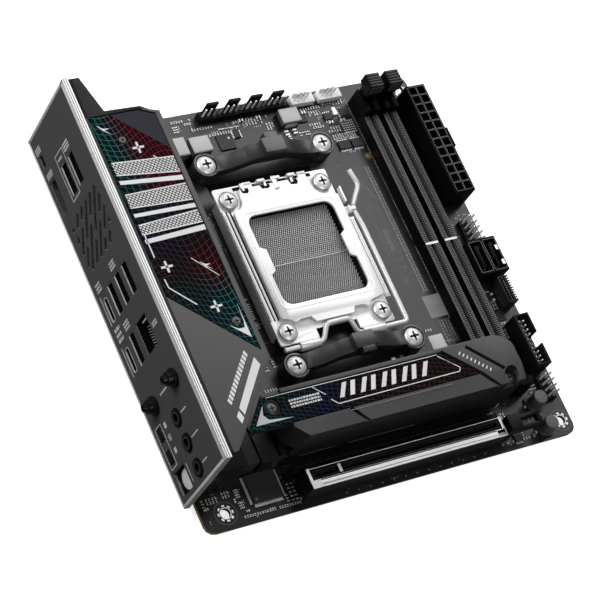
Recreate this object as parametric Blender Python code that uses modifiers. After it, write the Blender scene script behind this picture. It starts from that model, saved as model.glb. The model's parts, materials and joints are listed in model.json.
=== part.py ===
"""A compact (170 mm square) desktop computer motherboard with its socket, slots, ports and covers.

Run with: blender --background --python part.py

All sizes below are millimetres in the board's own frame: X runs from the rear port edge of the
circuit board, Y from the expansion slot edge and Z from the component face. The helper `spot` turns
them into scene metres, with the scene origin under the middle of the whole object, at its lowest point.
"""

import math

import bmesh
import bpy
from mathutils import Matrix, Vector

MM = 0.001
GAP = 0.3

# Circuit board
BOARD = 170.0
BOARD_THICK = 1.6
BOARD_CORNER = 4.0
BOARD_HOLES = ((10.16, 6.35), (165.1, 6.35), (33.02, 163.83), (165.1, 163.83))
BOARD_HOLE_R = 2.0

# Rear port plate
SHIELD_FACE = -3.6
SHIELD_BACK = -2.8
SHIELD_LIP = -1.4
SHIELD_Y = (12.66, 171.41)
SHIELD_Z = (-2.16, 42.29)
PORT_FRONT = -2.5
ANTENNA_TIP = -8.6

# Processor socket
SOCKET_X = (57.0, 109.6)
SOCKET_Y = (60.9, 131.6)
WINDOW_X = (65.5, 105.0)
WINDOW_Y = (77.0, 117.0)
FRAME_Z = (5.6, 6.6)
RAIL_X = 112.6
PLATE_Z = (7.2, 8.2)
SOCKET_SCREWS = ((61.7, 125.5), (105.0, 125.5), (61.7, 66.5), (105.0, 66.5))
PLATE_HINGE = (131.0, 7.7)
LEVER_AXIS = (60.3, 5.6)
LEVER_X = 115.2
WIRE_R = 1.1

# Cooler brackets, on a 54 x 90 mm pattern
COOLER_SCREWS = ((59.8, 142.9), (113.8, 142.9), (59.8, 52.9), (113.8, 52.9))
BACKPLATE_Z = (-4.0, -1.9)
BOSS_TOP = 6.9
BRACKET_TOP = 16.0
BRACKET_INNER = 3.9

# Cover over the rear ports, and the storage module stack
COVER_TOP = 41.8
COVER_SKIN = 1.4
STACK_TOP = 31.0
STACK_X = (33.8, 137.3)
STACK_Y = (17.1, 36.9)

# Memory slots
DIMM_X = (141.5, 150.8)
DIMM_Y = (20.5, 162.0)
DIMM_KEY_Y = 90.0
DIMM_TOP = 6.5
DIMM_PIVOT = (159.5, 5.0)
DIMM_LATCH_TOP = 20.0

# Expansion slot
PCIE_X = (41.8, 131.2)
PCIE_Y = (2.8, 10.9)
PCIE_TOP = 11.3
PCIE_KEY_X = 56.0
PCIE_PIVOT = (134.6, 2.6)

ORIGIN = Vector(((ANTENNA_TIP + BOARD) / 2, SHIELD_Y[1] / 2, BACKPLATE_Z[0]))

# Colour, roughness and metallic value of each material
FINISHES = {
    "board": ((0.018, 0.018, 0.020), 0.50, 0.0),
    "black_plastic": ((0.010, 0.010, 0.011), 0.45, 0.0),
    "white_plastic": ((0.78, 0.78, 0.76), 0.40, 0.0),
    "steel": ((0.80, 0.80, 0.79), 0.28, 1.0),
    "cover_metal": ((0.075, 0.076, 0.080), 0.55, 0.3),
    "dark_metal": ((0.030, 0.030, 0.033), 0.45, 0.5),
    "printed_panel": ((0.012, 0.016, 0.030), 0.25, 0.2),
    "shutter_plastic": ((0.55, 0.55, 0.56), 0.40, 0.0),
}


def spot(x, y, z):
    """A place on the board, in scene metres."""
    return (Vector((x, y, z)) - ORIGIN) * MM


def new_collection(name):
    collection = bpy.data.collections.new(name)
    bpy.context.scene.collection.children.link(collection)
    return collection


def clear_scene():
    for obj in list(bpy.data.objects):
        bpy.data.objects.remove(obj)


clear_scene()
PARTS = new_collection("motherboard")
CUTTERS = new_collection("cutters")


def finish_material(slot):
    material = bpy.data.materials.get(slot)
    if material is None:
        colour, roughness, metallic = FINISHES[slot]
        material = bpy.data.materials.new(slot)
        material.use_nodes = True
        shader = material.node_tree.nodes["Principled BSDF"]
        shader.inputs["Base Color"].default_value = (*colour, 1.0)
        shader.inputs["Roughness"].default_value = roughness
        shader.inputs["Metallic"].default_value = metallic
    return material


def add_part(name, mesh, slot, place=(0, 0, 0)):
    obj = bpy.data.objects.new(name, mesh)
    obj.location = place
    obj.data.materials.append(finish_material(slot))
    PARTS.objects.link(obj)
    return obj


def add_cutter(mesh, place=(0, 0, 0)):
    obj = bpy.data.objects.new("cutter", mesh)
    obj.location = place
    obj.hide_render = True
    obj.display_type = "WIRE"
    CUTTERS.objects.link(obj)
    return obj


def mesh_from(bm, name="solid"):
    mesh = bpy.data.meshes.new(name)
    bm.to_mesh(mesh)
    bm.free()
    return mesh


def blocks(*boxes):
    """One mesh of separate boxes, each given by its low and high corner on the board."""
    bm = bmesh.new()
    for low, high in boxes:
        size = [(b - a) * MM for a, b in zip(low, high)]
        middle = spot(*[(a + b) / 2 for a, b in zip(low, high)])
        matrix = Matrix.Translation(middle) @ Matrix.Diagonal((*size, 1.0))
        bmesh.ops.create_cube(bm, size=1.0, matrix=matrix)
    return mesh_from(bm)


def add_turned(name, place, profile, slot, along_x=False):
    """A part turned from (radius, height) points, listed from its top down the outer side."""
    mesh = bpy.data.meshes.new(name)
    edges = [(i, i + 1) for i in range(len(profile) - 1)]
    mesh.from_pydata([(radius * MM, 0.0, height * MM) for radius, height in profile], edges, [])
    obj = add_part(name, mesh, slot, spot(*place))
    if along_x:
        obj.rotation_euler = (0.0, math.pi / 2, 0.0)
    modifier = obj.modifiers.new("turn", "SCREW")
    modifier.steps = 16
    modifier.render_steps = 16
    modifier.use_merge_vertices = True
    modifier.merge_threshold = 1e-5
    return obj


def prism(outline, low, high, axis="Z"):
    """A flat outline, on (x, y), (y, z) or (x, z) for axis Z, X or Y, pulled from low to high."""
    curve = bpy.data.curves.new("outline", "CURVE")
    curve.dimensions = "2D"
    curve.fill_mode = "BOTH"
    curve.extrude = (high - low) / 2 * MM
    spline = curve.splines.new("POLY")
    spline.points.add(len(outline) - 1)
    for point, (a, b) in zip(spline.points, outline):
        point.co = (a * MM, b * MM, 0.0, 1.0)
    spline.use_cyclic_u = True
    guide = bpy.data.objects.new("outline", curve)
    CUTTERS.objects.link(guide)
    bpy.context.view_layer.update()
    mesh = bpy.data.meshes.new_from_object(guide.evaluated_get(bpy.context.evaluated_depsgraph_get()))
    bpy.data.objects.remove(guide)
    bm = bmesh.new()
    bm.from_mesh(mesh)
    bmesh.ops.remove_doubles(bm, verts=bm.verts, dist=1e-6)
    bmesh.ops.dissolve_limit(bm, angle_limit=0.01, verts=bm.verts, edges=bm.edges)
    middle = (low + high) / 2
    upright = Matrix(((0, 0, 1, 0), (1, 0, 0, 0), (0, 1, 0, 0), (0, 0, 0, 1)))
    turn = {
        "Z": Matrix.Translation(spot(0, 0, middle)),
        "X": Matrix.Translation(spot(middle, 0, 0)) @ upright,
        "Y": Matrix.Translation(spot(0, middle, 0)) @ Matrix.Rotation(math.pi / 2, 4, "X"),
    }[axis]
    bm.transform(turn)
    bmesh.ops.recalc_face_normals(bm, faces=bm.faces)
    if bm.calc_volume(signed=True) < 0:
        bmesh.ops.reverse_faces(bm, faces=bm.faces)
    return mesh_from(bm)


def arc(centre, radius, start, end, steps):
    """Points on an arc from start to end degrees, both ends included."""
    angles = [math.radians(start + (end - start) * i / steps) for i in range(steps + 1)]
    return [(centre[0] + radius * math.cos(a), centre[1] + radius * math.sin(a)) for a in angles]


def rounded(low, high, radius, steps=3):
    """The outline of a rectangle with round corners."""
    (x0, y0), (x1, y1) = low, high
    corners = (((x1 - radius, y1 - radius), 0), ((x0 + radius, y1 - radius), 90))
    corners += (((x0 + radius, y0 + radius), 180), ((x1 - radius, y0 + radius), 270))
    points = []
    for centre, start in corners:
        points += arc(centre, radius, start, start + 90, steps)
    return points


def softened(path, radius, steps=3):
    """An open path of 3-D points with each inner corner cut to a smooth bend."""
    points = [Vector(path[0])]
    for before, corner, after in zip(path, path[1:], path[2:]):
        corner = Vector(corner)
        to_before = (Vector(before) - corner).normalized() * radius
        to_after = (Vector(after) - corner).normalized() * radius
        for i in range(steps + 1):
            t = i / steps
            points.append(corner + to_before * (1 - t) ** 2 + to_after * t**2)
    points.append(Vector(path[-1]))
    return points


def change(obj, operation, mesh):
    modifier = obj.modifiers.new(operation.lower(), "BOOLEAN")
    modifier.operation = operation
    modifier.solver = "EXACT"
    modifier.object = add_cutter(mesh)
    return obj


def cut(obj, *meshes):
    for mesh in meshes:
        change(obj, "DIFFERENCE", mesh)
    return obj


def join(obj, *meshes):
    for mesh in meshes:
        change(obj, "UNION", mesh)
    return obj


def bevelled(obj, width, segments=1):
    """Rounds the sharp edges; it comes before any Boolean."""
    modifier = obj.modifiers.new("bevel", "BEVEL")
    modifier.width = width * MM
    modifier.segments = segments
    modifier.limit_method = "ANGLE"
    return obj


def rods(places, radius, low, high, axis="Z", steps=16):
    """Round rods along X or Z at (y, z) or (x, y) places: a cutter, or a set of posts."""
    turn = Matrix.Rotation(math.pi / 2, 4, "Y") if axis == "X" else Matrix.Identity(4)
    bm = bmesh.new()
    for a, b in places:
        middle = (low + high) / 2
        centre = (middle, a, b) if axis == "X" else (a, b, middle)
        bmesh.ops.create_cone(
            bm,
            cap_ends=True,
            segments=steps,
            radius1=radius * MM,
            radius2=radius * MM,
            depth=(high - low) * MM,
            matrix=Matrix.Translation(spot(*centre)) @ turn,
        )
    return mesh_from(bm)


def set_pivot(obj, place):
    """Moves the object's origin onto its joint axis, leaving its shape where it is."""
    pivot = spot(*place)
    obj.data.transform(Matrix.Translation(-pivot))
    obj.location = pivot
    return obj


# ---------------------------------------------------------------- board and backplate


def make_board():
    outline = rounded((0, 0), (BOARD, BOARD), BOARD_CORNER)
    board = add_part("pcb", prism(outline, -BOARD_THICK, 0), "board")
    deep, above = -BOARD_THICK - 1, 1
    cut(
        board,
        rods(BOARD_HOLES, BOARD_HOLE_R, deep, above),
        rods(COOLER_SCREWS, 2.7, deep, above),
        rods(SOCKET_SCREWS, 1.9, deep, above, steps=12),
    )


def make_backplate():
    low, high = BACKPLATE_Z
    (x0, y0), (x1, y1) = COOLER_SCREWS[2], COOLER_SCREWS[1]
    margin = 6.5
    outline = rounded((x0 - margin, y0 - margin), (x1 + margin, y1 + margin), margin, 4)
    plate = add_part("socket_backplate", prism(outline, low, high), "dark_metal")
    opening = rounded((WINDOW_X[0] + 4, WINDOW_Y[0] + 3), (WINDOW_X[1] - 4, WINDOW_Y[1] - 3), 3)
    join(plate, rods(COOLER_SCREWS, 2.4, low + 0.5, 1.8))
    cut(
        plate,
        prism(opening, low - 1, high + 1),
        rods(COOLER_SCREWS, 1.9, low - 1, 3.0),
        rods(SOCKET_SCREWS, 1.7, low - 1, high + 1, steps=12),
    )


# ---------------------------------------------------------------- fasteners


def make_screw(name, place, head_z, head_r, head_height, shank_r, tip_z):
    """A round-topped machine screw with a cross recess, pointing down."""
    x, y = place
    drop = head_z + head_height
    profile = [
        (0.0, 0.0),
        (head_r * 0.4, -head_height * 0.03),
        (head_r * 0.75, -head_height * 0.16),
        (head_r, -head_height * 0.5),
        (head_r, -head_height),
        (shank_r, -head_height),
        (shank_r, tip_z - drop + 0.5),
        (shank_r * 0.7, tip_z - drop),
        (0.0, tip_z - drop),
    ]
    screw = add_turned(name, (x, y, drop), profile, "steel")
    arm, half = head_r * 0.55, head_r * 0.12
    floor = drop - head_height * 0.55
    for across, along in ((arm, half), (half, arm)):
        cut(screw, blocks(((x - across, y - along, floor), (x + across, y + along, drop + 1))))


def make_screws():
    for i, place in enumerate(SOCKET_SCREWS, 1):
        make_screw(f"socket_screw_{i}", place, FRAME_Z[1] + GAP, 3.7, 2.0, 1.35, BACKPLATE_Z[0] + 0.4)
    for i, place in enumerate(COOLER_SCREWS, 1):
        make_screw(f"bracket_screw_{i}", place, 5.6, 4.0, 2.2, 1.5, BACKPLATE_Z[0] + 0.4)


# ---------------------------------------------------------------- processor socket


def make_socket_base():
    (x0, x1), (y0, y1) = WINDOW_X, WINDOW_Y
    block = blocks(((x0 - 3, y0 - 2.5, GAP), (x1 + 2.5, y1 + 2.5, 5.2)))
    base = bevelled(add_part("socket_base", block, "black_plastic"), 0.4)
    cut(base, blocks(((x0 - 0.5, y0 - 0.5, 3.9), (x1 + 0.5, y1 + 0.5, 7))))


def make_socket_frame():
    (x0, x1), (y0, y1) = SOCKET_X, SOCKET_Y
    low, high = FRAME_Z
    outline = rounded((x0, y0 + 0.9), (x1, y1), 0.8)
    frame = add_part("socket_frame", prism(outline, low, high), "steel")
    skirts = [((x, 66, 0.8), (x + 1.0, 126, high - 0.2)) for x in (x0, x1 - 1.0)]
    join(frame, blocks(*skirts), blocks(((x1 - 1.0, 72.0, low + 0.1), (RAIL_X, 108.5, high - 0.1))))
    join(frame, blocks(((RAIL_X - 0.9, 72.0, 1.2), (RAIL_X, 108.5, high - 0.3))))
    lugs = [((x, y1 - 1.2, low + 0.2), (x + 3.4, y1 - 0.2, high + 2.6)) for x in (76.5, 83.5, 90.5)]
    join(frame, blocks(*lugs))
    for start, end in ((65.0, 74.0), (94.0, 104.0)):
        join(frame, rods((LEVER_AXIS,), 2.0, start, end, "X"))
    join(frame, blocks(((x1 - 0.6, 110.2, low + 0.2), (x1 + 2.8, 113.4, low + 0.8))))
    join(frame, blocks(((x1 + 2.0, 110.2, low + 0.4), (x1 + 2.8, 113.4, high + 0.9))))
    opening = rounded((WINDOW_X[0] - 1.5, WINDOW_Y[0] - 1.5), (WINDOW_X[1] + 1.5, WINDOW_Y[1] + 1.5), 3)
    cut(
        frame,
        prism(opening, low - 1, high + 1),
        rods(SOCKET_SCREWS, 1.8, low - 1, high + 1, steps=12),
        rods((LEVER_AXIS,), WIRE_R + 0.35, 60, 108, "X"),
        blocks(((74.6, y0 - 1, low - 1), (93.4, y0 + 4.9, high + 1))),
    )


def load_plate_outline():
    """The plate's edge: hinge tabs at the top, round notches for the screws and a tongue below."""
    left, right = WINDOW_X[0] - 4.3, WINDOW_X[1] + 4.3
    hinge_end = PLATE_HINGE[0] + 0.5
    notch = 5.6
    x0, x1 = SOCKET_SCREWS[0][0], SOCKET_SCREWS[1][0]
    y_low, y_high = SOCKET_SCREWS[2][1], SOCKET_SCREWS[0][1]
    top, bottom, tip = 129.2, 70.6, 68.1
    points = [(left, y_low + notch + 0.8), (left, y_high - notch - 0.8)]
    points += [(x0, y_high - notch)] + arc((x0, y_high), notch, -70, -20, 3) + [(x0 + notch + 0.6, top)]
    points += [(69.0, top), (69.0, hinge_end), (74.0, hinge_end), (74.0, top)]
    points += [(95.5, top), (95.5, hinge_end), (99.0, hinge_end), (99.0, top)]
    points += arc((x1, y_high), notch, 200, 270, 4) + [(right, y_high - notch - 1.0)]
    points += [(right, y_low + notch + 1.0)] + arc((x1, y_low), notch, 92, 150, 4) + [(98.0, bottom)]
    points += [(94.0, bottom), (92.5, tip), (75.5, tip), (74.0, bottom), (69.5, bottom)]
    points += arc((x0, y_low), notch, 30, 90, 4)
    return points


def make_load_plate():
    low, high = PLATE_Z
    plate = add_part("load_plate", prism(load_plate_outline(), low, high), "steel")
    set_pivot(plate, (85.0, *PLATE_HINGE))
    (x0, x1), (y0, y1) = WINDOW_X, WINDOW_Y
    side, mid = 2.4, (92.3, 101.7)
    window = arc((x1 - 4, y1 - 4), 4, 0, 90, 4) + arc((x0 + 4, y1 - 4), 4, 90, 180, 4)
    window += [(x0, mid[1] + 1.5), (x0 + side, mid[1]), (x0 + side, mid[0]), (x0, mid[0] - 1.5)]
    window += arc((x0 + 4, y0 + 4), 4, 180, 270, 4) + arc((x1 - 4, y0 + 4), 4, 270, 360, 4)
    window += [(x1, mid[0] - 1.5), (x1 - side, mid[0]), (x1 - side, mid[1]), (x1, mid[1] + 1.5)]
    cut(plate, prism(window, low - 1, high + 1))


def make_load_lever():
    """The bent wire: a shaft with a crank under the socket edge, a side arm and a turned-out grip."""
    axis_y, axis_z = LEVER_AXIS
    crank_y, crank_z = 66.2, 8.35
    path = [
        (58.2, axis_y, axis_z),
        (76.0, axis_y, axis_z),
        (78.8, crank_y, crank_z),
        (89.2, crank_y, crank_z),
        (92.0, axis_y, axis_z),
        (LEVER_X, axis_y, axis_z),
        (LEVER_X, 104.0, 5.8),
        (114.1, 112.6, 6.0),
        (121.0, 121.5, 6.6),
        (119.3, 128.4, 7.6),
    ]
    curve = bpy.data.curves.new("load_lever", "CURVE")
    curve.dimensions = "3D"
    curve.bevel_depth = WIRE_R * MM
    curve.bevel_resolution = 2
    curve.use_fill_caps = True
    points = [spot(*point) - spot(LEVER_X, axis_y, axis_z) for point in softened(path, 1.8)]
    spline = curve.splines.new("POLY")
    spline.points.add(len(points) - 1)
    for target, point in zip(spline.points, points):
        target.co = (*point, 1.0)
    add_part("load_lever", curve, "steel", spot(LEVER_X, axis_y, axis_z))


# ---------------------------------------------------------------- cooler brackets


def bracket_profile(x0, x1):
    """A bracket's side view (x, z): an arch between two bosses, with a raised catch in the middle."""
    middle, half = (x0 + x1) / 2, (x1 - x0) / 2
    rise = [(half, BOSS_TOP), (20.0, 7.5), (15.5, 8.8), (11.5, 10.9), (8.0, 12.4)]
    rise += [(4.7, 13.0), (4.7, BRACKET_TOP)]
    under = [(half - 4.0, 2.6), (15.0, 4.4), (8.0, 7.4)]
    right = [(middle + a, z) for a, z in under[::-1]] + [(x1, 2.6)] + [(middle + a, z) for a, z in rise]
    left = [(2 * middle - x, z) for x, z in reversed(right)]
    return right + left


def make_brackets():
    """Two arched bars, mirror images of each other; each catch points away from the socket."""
    for name, side, screws in (("upper", 1, COOLER_SCREWS[:2]), ("lower", -1, COOLER_SCREWS[2:])):
        (x0, y), (x1, _) = screws
        middle = (x0 + x1) / 2
        near, far = sorted((y - side * BRACKET_INNER, y + side * 2.4))
        arch = prism(bracket_profile(x0, x1), near, far, "Y")
        bracket = add_part(f"cooler_bracket_{name}", arch, "black_plastic")
        join(bracket, rods(screws, 5.3, GAP, BOSS_TOP, steps=20))
        tip = sorted((y + side * 2.0, y + side * 4.7))
        join(bracket, blocks(((middle - 2.6, tip[0], 12.0), (middle + 3.2, tip[1], BRACKET_TOP - 0.1))))
        cut(bracket, rods(screws, 4.4, 5.3, 9.0, steps=20), rods(screws, 2.8, -1.0, 6.0))


# ---------------------------------------------------------------- memory slots


def make_dimm_slot(name, x):
    y0, y1 = DIMM_Y
    body = ((x - 3.3, y0, GAP), (x + 3.3, y1 - 10, DIMM_TOP))
    slot = add_part(name, blocks(body), "black_plastic")
    join(slot, blocks(((x - 3.3, y1 - 11, GAP), (x + 3.3, y1, 10.5))))
    join(slot, blocks(((x - 3.0, y0 + 0.2, 2.0), (x + 3.0, y0 + 3.6, 11.0))))
    groove = [((x - 0.9, y0 + 2.0, 2.6), (x + 0.9, DIMM_KEY_Y - 0.9, 12))]
    groove.append(((x - 0.9, DIMM_KEY_Y + 0.9, 2.6), (x + 0.9, y1 - 5.0, 12)))
    cut(slot, blocks(*groove), blocks(((x - 2.5, y1 - 6.5, 2.0), (x + 2.5, y1 + 1, 12))))


def make_dimm_latch(name, x):
    """A latch that stands in the slot's end tower, with a hooked head; it swings outward."""
    pivot_y, pivot_z = DIMM_PIVOT
    top = DIMM_LATCH_TOP
    foot = arc(DIMM_PIVOT, 2.1, 180, 360, 8)
    side = foot + [(pivot_y + 2.1, 12.0), (163.3, 14.5), (163.3, top - 1.8), (162.0, top)]
    side += [(156.2, top), (156.2, 13.2), (pivot_y - 2.1, 11.8)]
    latch = add_part(name, prism(side, x - 2.2, x + 2.2, "X"), "black_plastic")
    join(latch, blocks(((x - 3.2, 156.4, 14.8), (x + 3.2, 163.1, top - 0.2))))
    set_pivot(latch, (x, pivot_y, pivot_z))


# ---------------------------------------------------------------- expansion slot


def make_expansion_slot():
    (x0, x1), (y0, y1) = PCIE_X, PCIE_Y
    inner_low, inner_high = (x0 + 1.4, y0 + 3.1), (x1 - 1.4, y1 - 0.6)
    shield = add_part("pcie_slot_shield", blocks(((x0, y0, GAP), (x1, y1, PCIE_TOP))), "steel")
    cut(shield, blocks(((*inner_low, -1), (*inner_high, PCIE_TOP + 1))))
    low = (inner_low[0] + GAP, inner_low[1] + GAP, GAP)
    high = (inner_high[0] - GAP, inner_high[1] - GAP, PCIE_TOP - 0.4)
    slot = add_part("pcie_slot", blocks((low, high)), "black_plastic")
    groove = [((low[0] + 1.2, low[1] + 0.9, 3.0), (PCIE_KEY_X - 0.8, high[1] - 0.9, 12))]
    groove.append(((PCIE_KEY_X + 0.8, low[1] + 0.9, 3.0), (high[0] - 1.2, high[1] - 0.9, 12)))
    cut(slot, blocks(*groove))


def make_expansion_latch():
    """The card retainer at the slot's end: an upright hook with a long finger tab."""
    pivot_x, pivot_z = PCIE_PIVOT
    y0, y1 = PCIE_Y
    side = arc(PCIE_PIVOT, 1.9, 180, 360, 8)
    side += [(pivot_x + 1.9, 6.5), (149.5, 7.8), (150.2, 9.6), (147.5, 10.6)]
    side += [(pivot_x + 4.5, 10.2), (pivot_x + 2.5, 13.6), (132.4, 13.6), (pivot_x - 1.9, 11.6)]
    latch = add_part("pcie_latch", prism(side, y0 + 1.0, y1 - 1.0, "Y"), "black_plastic")
    set_pivot(latch, (pivot_x, (y0 + y1) / 2, pivot_z))
    cut(latch, blocks(((140.5, y0 + 2.6, 5), (148.0, y1 - 2.6, 12))))


# ---------------------------------------------------------------- power and data connectors


def make_cell_connector(name, low, high, across, along, hook):
    """A box with a grid of square contact cells open at the top, and a latch ramp on one side."""
    connector = bevelled(add_part(name, blocks((low, high)), "black_plastic"), 0.25)
    join(connector, blocks(hook))
    pitch = 4.2
    half = 1.75
    x = (low[0] + high[0]) / 2
    y = (low[1] + high[1]) / 2
    cells = []
    for i in range(across):
        for j in range(along):
            cx = x + (i - (across - 1) / 2) * pitch
            cy = y + (j - (along - 1) / 2) * pitch
            cells.append(((cx - half, cy - half, high[2] - 9), (cx + half, cy + half, high[2] + 1)))
    cut(connector, blocks(*cells))


def make_power_connectors():
    make_cell_connector(
        "atx_power_connector",
        (158.8, 106.2, GAP),
        (168.5, 158.0, 12.8),
        2,
        12,
        ((168.3, 127.5, 5.0), (169.7, 136.5, 12.2)),
    )
    make_cell_connector(
        "cpu_power_connector",
        (9.2, 158.2, GAP),
        (27.2, 167.9, 12.8),
        4,
        2,
        ((14.0, 167.7, 5.0), (22.4, 169.2, 12.2)),
    )


def make_sata():
    low, high = (155.2, 70.5, GAP), (168.9, 86.3, 9.0)
    ports = add_part("sata_ports", blocks((low, high)), "black_plastic")
    for x in (158.6, 165.4):
        cavity = ((x - 2.7, low[1] + 1.2, 2.5), (x + 2.7, high[1] - 1.2, 10))
        cut(ports, blocks(cavity))
        tongue = (((x - 0.7, low[1] + 2.6, 2.0), (x + 0.7, high[1] - 2.6, 8.6)),)
        tongue += (((x - 0.6, high[1] - 4.2, 2.1), (x + 1.9, high[1] - 2.7, 8.5)),)
        join(ports, blocks(tongue[0]), blocks(tongue[1]))


def make_front_connectors():
    usb3 = add_part("usb3_header", blocks(((160.3, 27.6, GAP), (167.3, 50.8, 9.0))), "black_plastic")
    cut(usb3, blocks(((161.2, 28.5, 2.0), (166.4, 49.9, 10))))
    cut(usb3, blocks(((166.0, 36.6, 3.0), (168.0, 41.8, 10))))
    typec = add_part("typec_header", blocks(((162.3, 56.9, GAP), (167.0, 68.8, 8.0))), "steel")
    cut(typec, blocks(((162.8, 57.4, 2.0), (166.5, 68.3, 9))))
    join(typec, blocks(((164.2, 59.0, 1.8), (165.1, 66.7, 7.2))))


def make_pin_headers():
    """Four fan headers in a row, and two lighting headers beside them."""
    pitch = 10.28
    for i in range(4):
        x = 68.4 + i * pitch
        base = blocks(((x, 164.4, GAP), (x + pitch - GAP, 168.3, 3.2)))
        header = add_part(f"fan_header_{i + 1}", base, "black_plastic")
        join(header, blocks(((x + 1.8, 167.2, 1.0), (x + 7.0, 168.2, 9.6))))
    for i, x in enumerate((111.3, 124.4)):
        base = blocks(((x, 164.0, GAP), (x + 10.9, 168.2, 3.2)))
        header = add_part(f"lighting_header_{i + 1}", base, "white_plastic")
        join(header, blocks(((x + 1.0, 167.3, 1.0), (x + 7.4, 168.1, 5.6))))


# ---------------------------------------------------------------- rear ports

# Openings in the port plate, as (y0, y1, z0, z1)
OPTICAL = (16.0, 25.6, 1.0, 10.8)
PANEL_BUTTONS = ((28.4, 34.0, 1.6, 5.6), (37.6, 43.2, 1.6, 5.6))
LAN = (65.6, 78.6, 19.2, 29.0)
USB_A_FIRST = (65.6, 78.6, 10.4, 15.3)
USB_C_FIRST = (65.8, 76.4, 3.4, 7.2)
USB_A_SECOND = ((87.0, 100.0, 26.2, 31.2), (87.0, 100.0, 18.3, 23.2), (87.0, 100.0, 10.3, 15.2))
USB_C_SECOND = (87.2, 97.8, 3.4, 7.2)
HDMI = (135.2, 150.2, 1.0, 6.4)
USB_A_THIRD = ((136.6, 150.0, 14.0, 19.2), (136.6, 150.0, 22.0, 27.2))
FLASH_BUTTON = (156.9, 161.7, 1.1, 4.3)
JACKS = ((19.3, 20.2), (29.4, 20.2), (39.5, 20.2))
ANTENNAS = ((51.0, 30.2), (50.5, 8.2))
VENT = (109.4, 130.8, 3.2, 33.4)


def vent_slots():
    """Parallel slots at 45 degrees, in two lengths, inside the vent's rectangle."""
    y0, y1, z0, z1 = VENT
    step, width = 5.1, 1.9
    bm = bmesh.new()
    for row in range(-4, 6):
        offset = z0 - y0 + 2.6 + row * step
        start = max(y0, z0 - offset)
        end = min(y1, z1 - offset)
        if end - start < 2.0:
            continue
        split = start + (end - start) * (0.36 if row % 2 else 0.64)
        for a, b in ((start, split - 1.1), (split + 1.1, end)):
            if b - a < 1.0:
                continue
            middle = (a + b) / 2
            turn = Matrix.Rotation(math.radians(45), 4, "X")
            size = Matrix.Diagonal((6 * MM, (b - a) * math.sqrt(2) * MM, width * MM, 1.0))
            place = Matrix.Translation(spot(SHIELD_FACE, middle, middle + offset))
            bmesh.ops.create_cube(bm, size=1.0, matrix=place @ turn @ size)
    return mesh_from(bm)


def make_port_plate():
    (y0, y1), (z0, z1) = SHIELD_Y, SHIELD_Z
    plate = add_part("io_shield", blocks(((SHIELD_FACE, y0, z0), (SHIELD_LIP, y1, z1))), "cover_metal")
    skin = SHIELD_BACK - SHIELD_FACE
    cut(plate, blocks(((SHIELD_BACK, y0 + skin, z0 + skin), (0, y1 - skin, z1 - skin))))
    openings = (OPTICAL, *PANEL_BUTTONS, LAN, USB_A_FIRST, USB_C_FIRST)
    openings += (*USB_A_SECOND, USB_C_SECOND, HDMI, *USB_A_THIRD, FLASH_BUTTON)
    cut(plate, blocks(*[((-6, a, c), (0, b, d)) for a, b, c, d in openings]))
    cut(plate, rods(JACKS, 3.7, -6, 0, "X"), rods(ANTENNAS, 3.4, -6, 0, "X"), vent_slots())
    cut(plate, blocks(((SHIELD_BACK, y0 + skin + 0.1, -BOARD_THICK - 0.3), (0, BOARD + 0.3, 0.3))))


def make_port_stack(name, low, high, cavities, tongues, depth=9.0):
    """A block behind the plate with one cavity for each port and a contact tongue in each."""
    stack = add_part(name, blocks(((PORT_FRONT, *low[1:]), high)), "black_plastic")
    back = PORT_FRONT + depth
    cut(stack, blocks(*[((PORT_FRONT - 1, a, c), (back, b, d)) for a, b, c, d in cavities]))
    join(stack, blocks(*[((PORT_FRONT + 1.0, a, c), (back + 0.5, b, d)) for a, b, c, d in tongues]))


def usb_a_tongue(port):
    y0, y1, z0, z1 = port
    return (y0 + 0.8, y1 - 0.8, z1 - 2.4, z1 - 0.7)


def usb_c_tongue(port):
    y0, y1, z0, z1 = port
    return (y0 + 1.5, y1 - 1.5, (z0 + z1) / 2 - 0.4, (z0 + z1) / 2 + 0.4)


def make_port_stacks():
    make_port_stack(
        "lan_usb_stack",
        (0, 64.3, GAP),
        (18.0, 80.4, 30.4),
        (LAN, USB_A_FIRST, USB_C_FIRST),
        (usb_a_tongue(USB_A_FIRST), usb_c_tongue(USB_C_FIRST)),
    )
    make_port_stack(
        "usb_stack",
        (0, 85.8, GAP),
        (18.0, 101.2, 32.6),
        (*USB_A_SECOND, USB_C_SECOND),
        (*[usb_a_tongue(port) for port in USB_A_SECOND], usb_c_tongue(USB_C_SECOND)),
    )
    make_port_stack(
        "hdmi_usb_stack",
        (0, 134.0, GAP),
        (18.0, 151.6, 28.6),
        (HDMI, *USB_A_THIRD),
        ((HDMI[0] + 2, HDMI[1] - 2, 3.2, 4.2), *[usb_a_tongue(port) for port in USB_A_THIRD]),
    )


def make_audio_block():
    """Three jack sockets over the pockets of the two panel buttons, on one moulded body."""
    body = blocks(((PORT_FRONT, 14.0, 13.0), (13.0, 45.0, 25.0)))
    block = add_part("audio_jack_block", body, "black_plastic")
    join(block, blocks(((PORT_FRONT, 27.0, GAP), (10.0, 44.9, 13.5))))
    join(block, rods(JACKS, 3.3, -4.2, PORT_FRONT + 0.5, "X", 20))
    pockets = [((PORT_FRONT - 1, a, c), (2.4, b, d)) for a, b, c, d in PANEL_BUTTONS]
    cut(block, rods(JACKS, 1.85, -6, 9, "X"), blocks(*pockets))


def make_button(name, opening, front, back):
    """A push button in a pocket that matches the plate's opening, with running clearance round it."""
    y0, y1, z0, z1 = opening
    clear = 0.3
    mesh = blocks(((front, y0 + clear, z0 + clear), (back, y1 - clear, z1 - clear)))
    button = bevelled(add_part(name, mesh, "black_plastic"), 0.3)
    set_pivot(button, (front, (y0 + y1) / 2, (z0 + z1) / 2))


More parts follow.
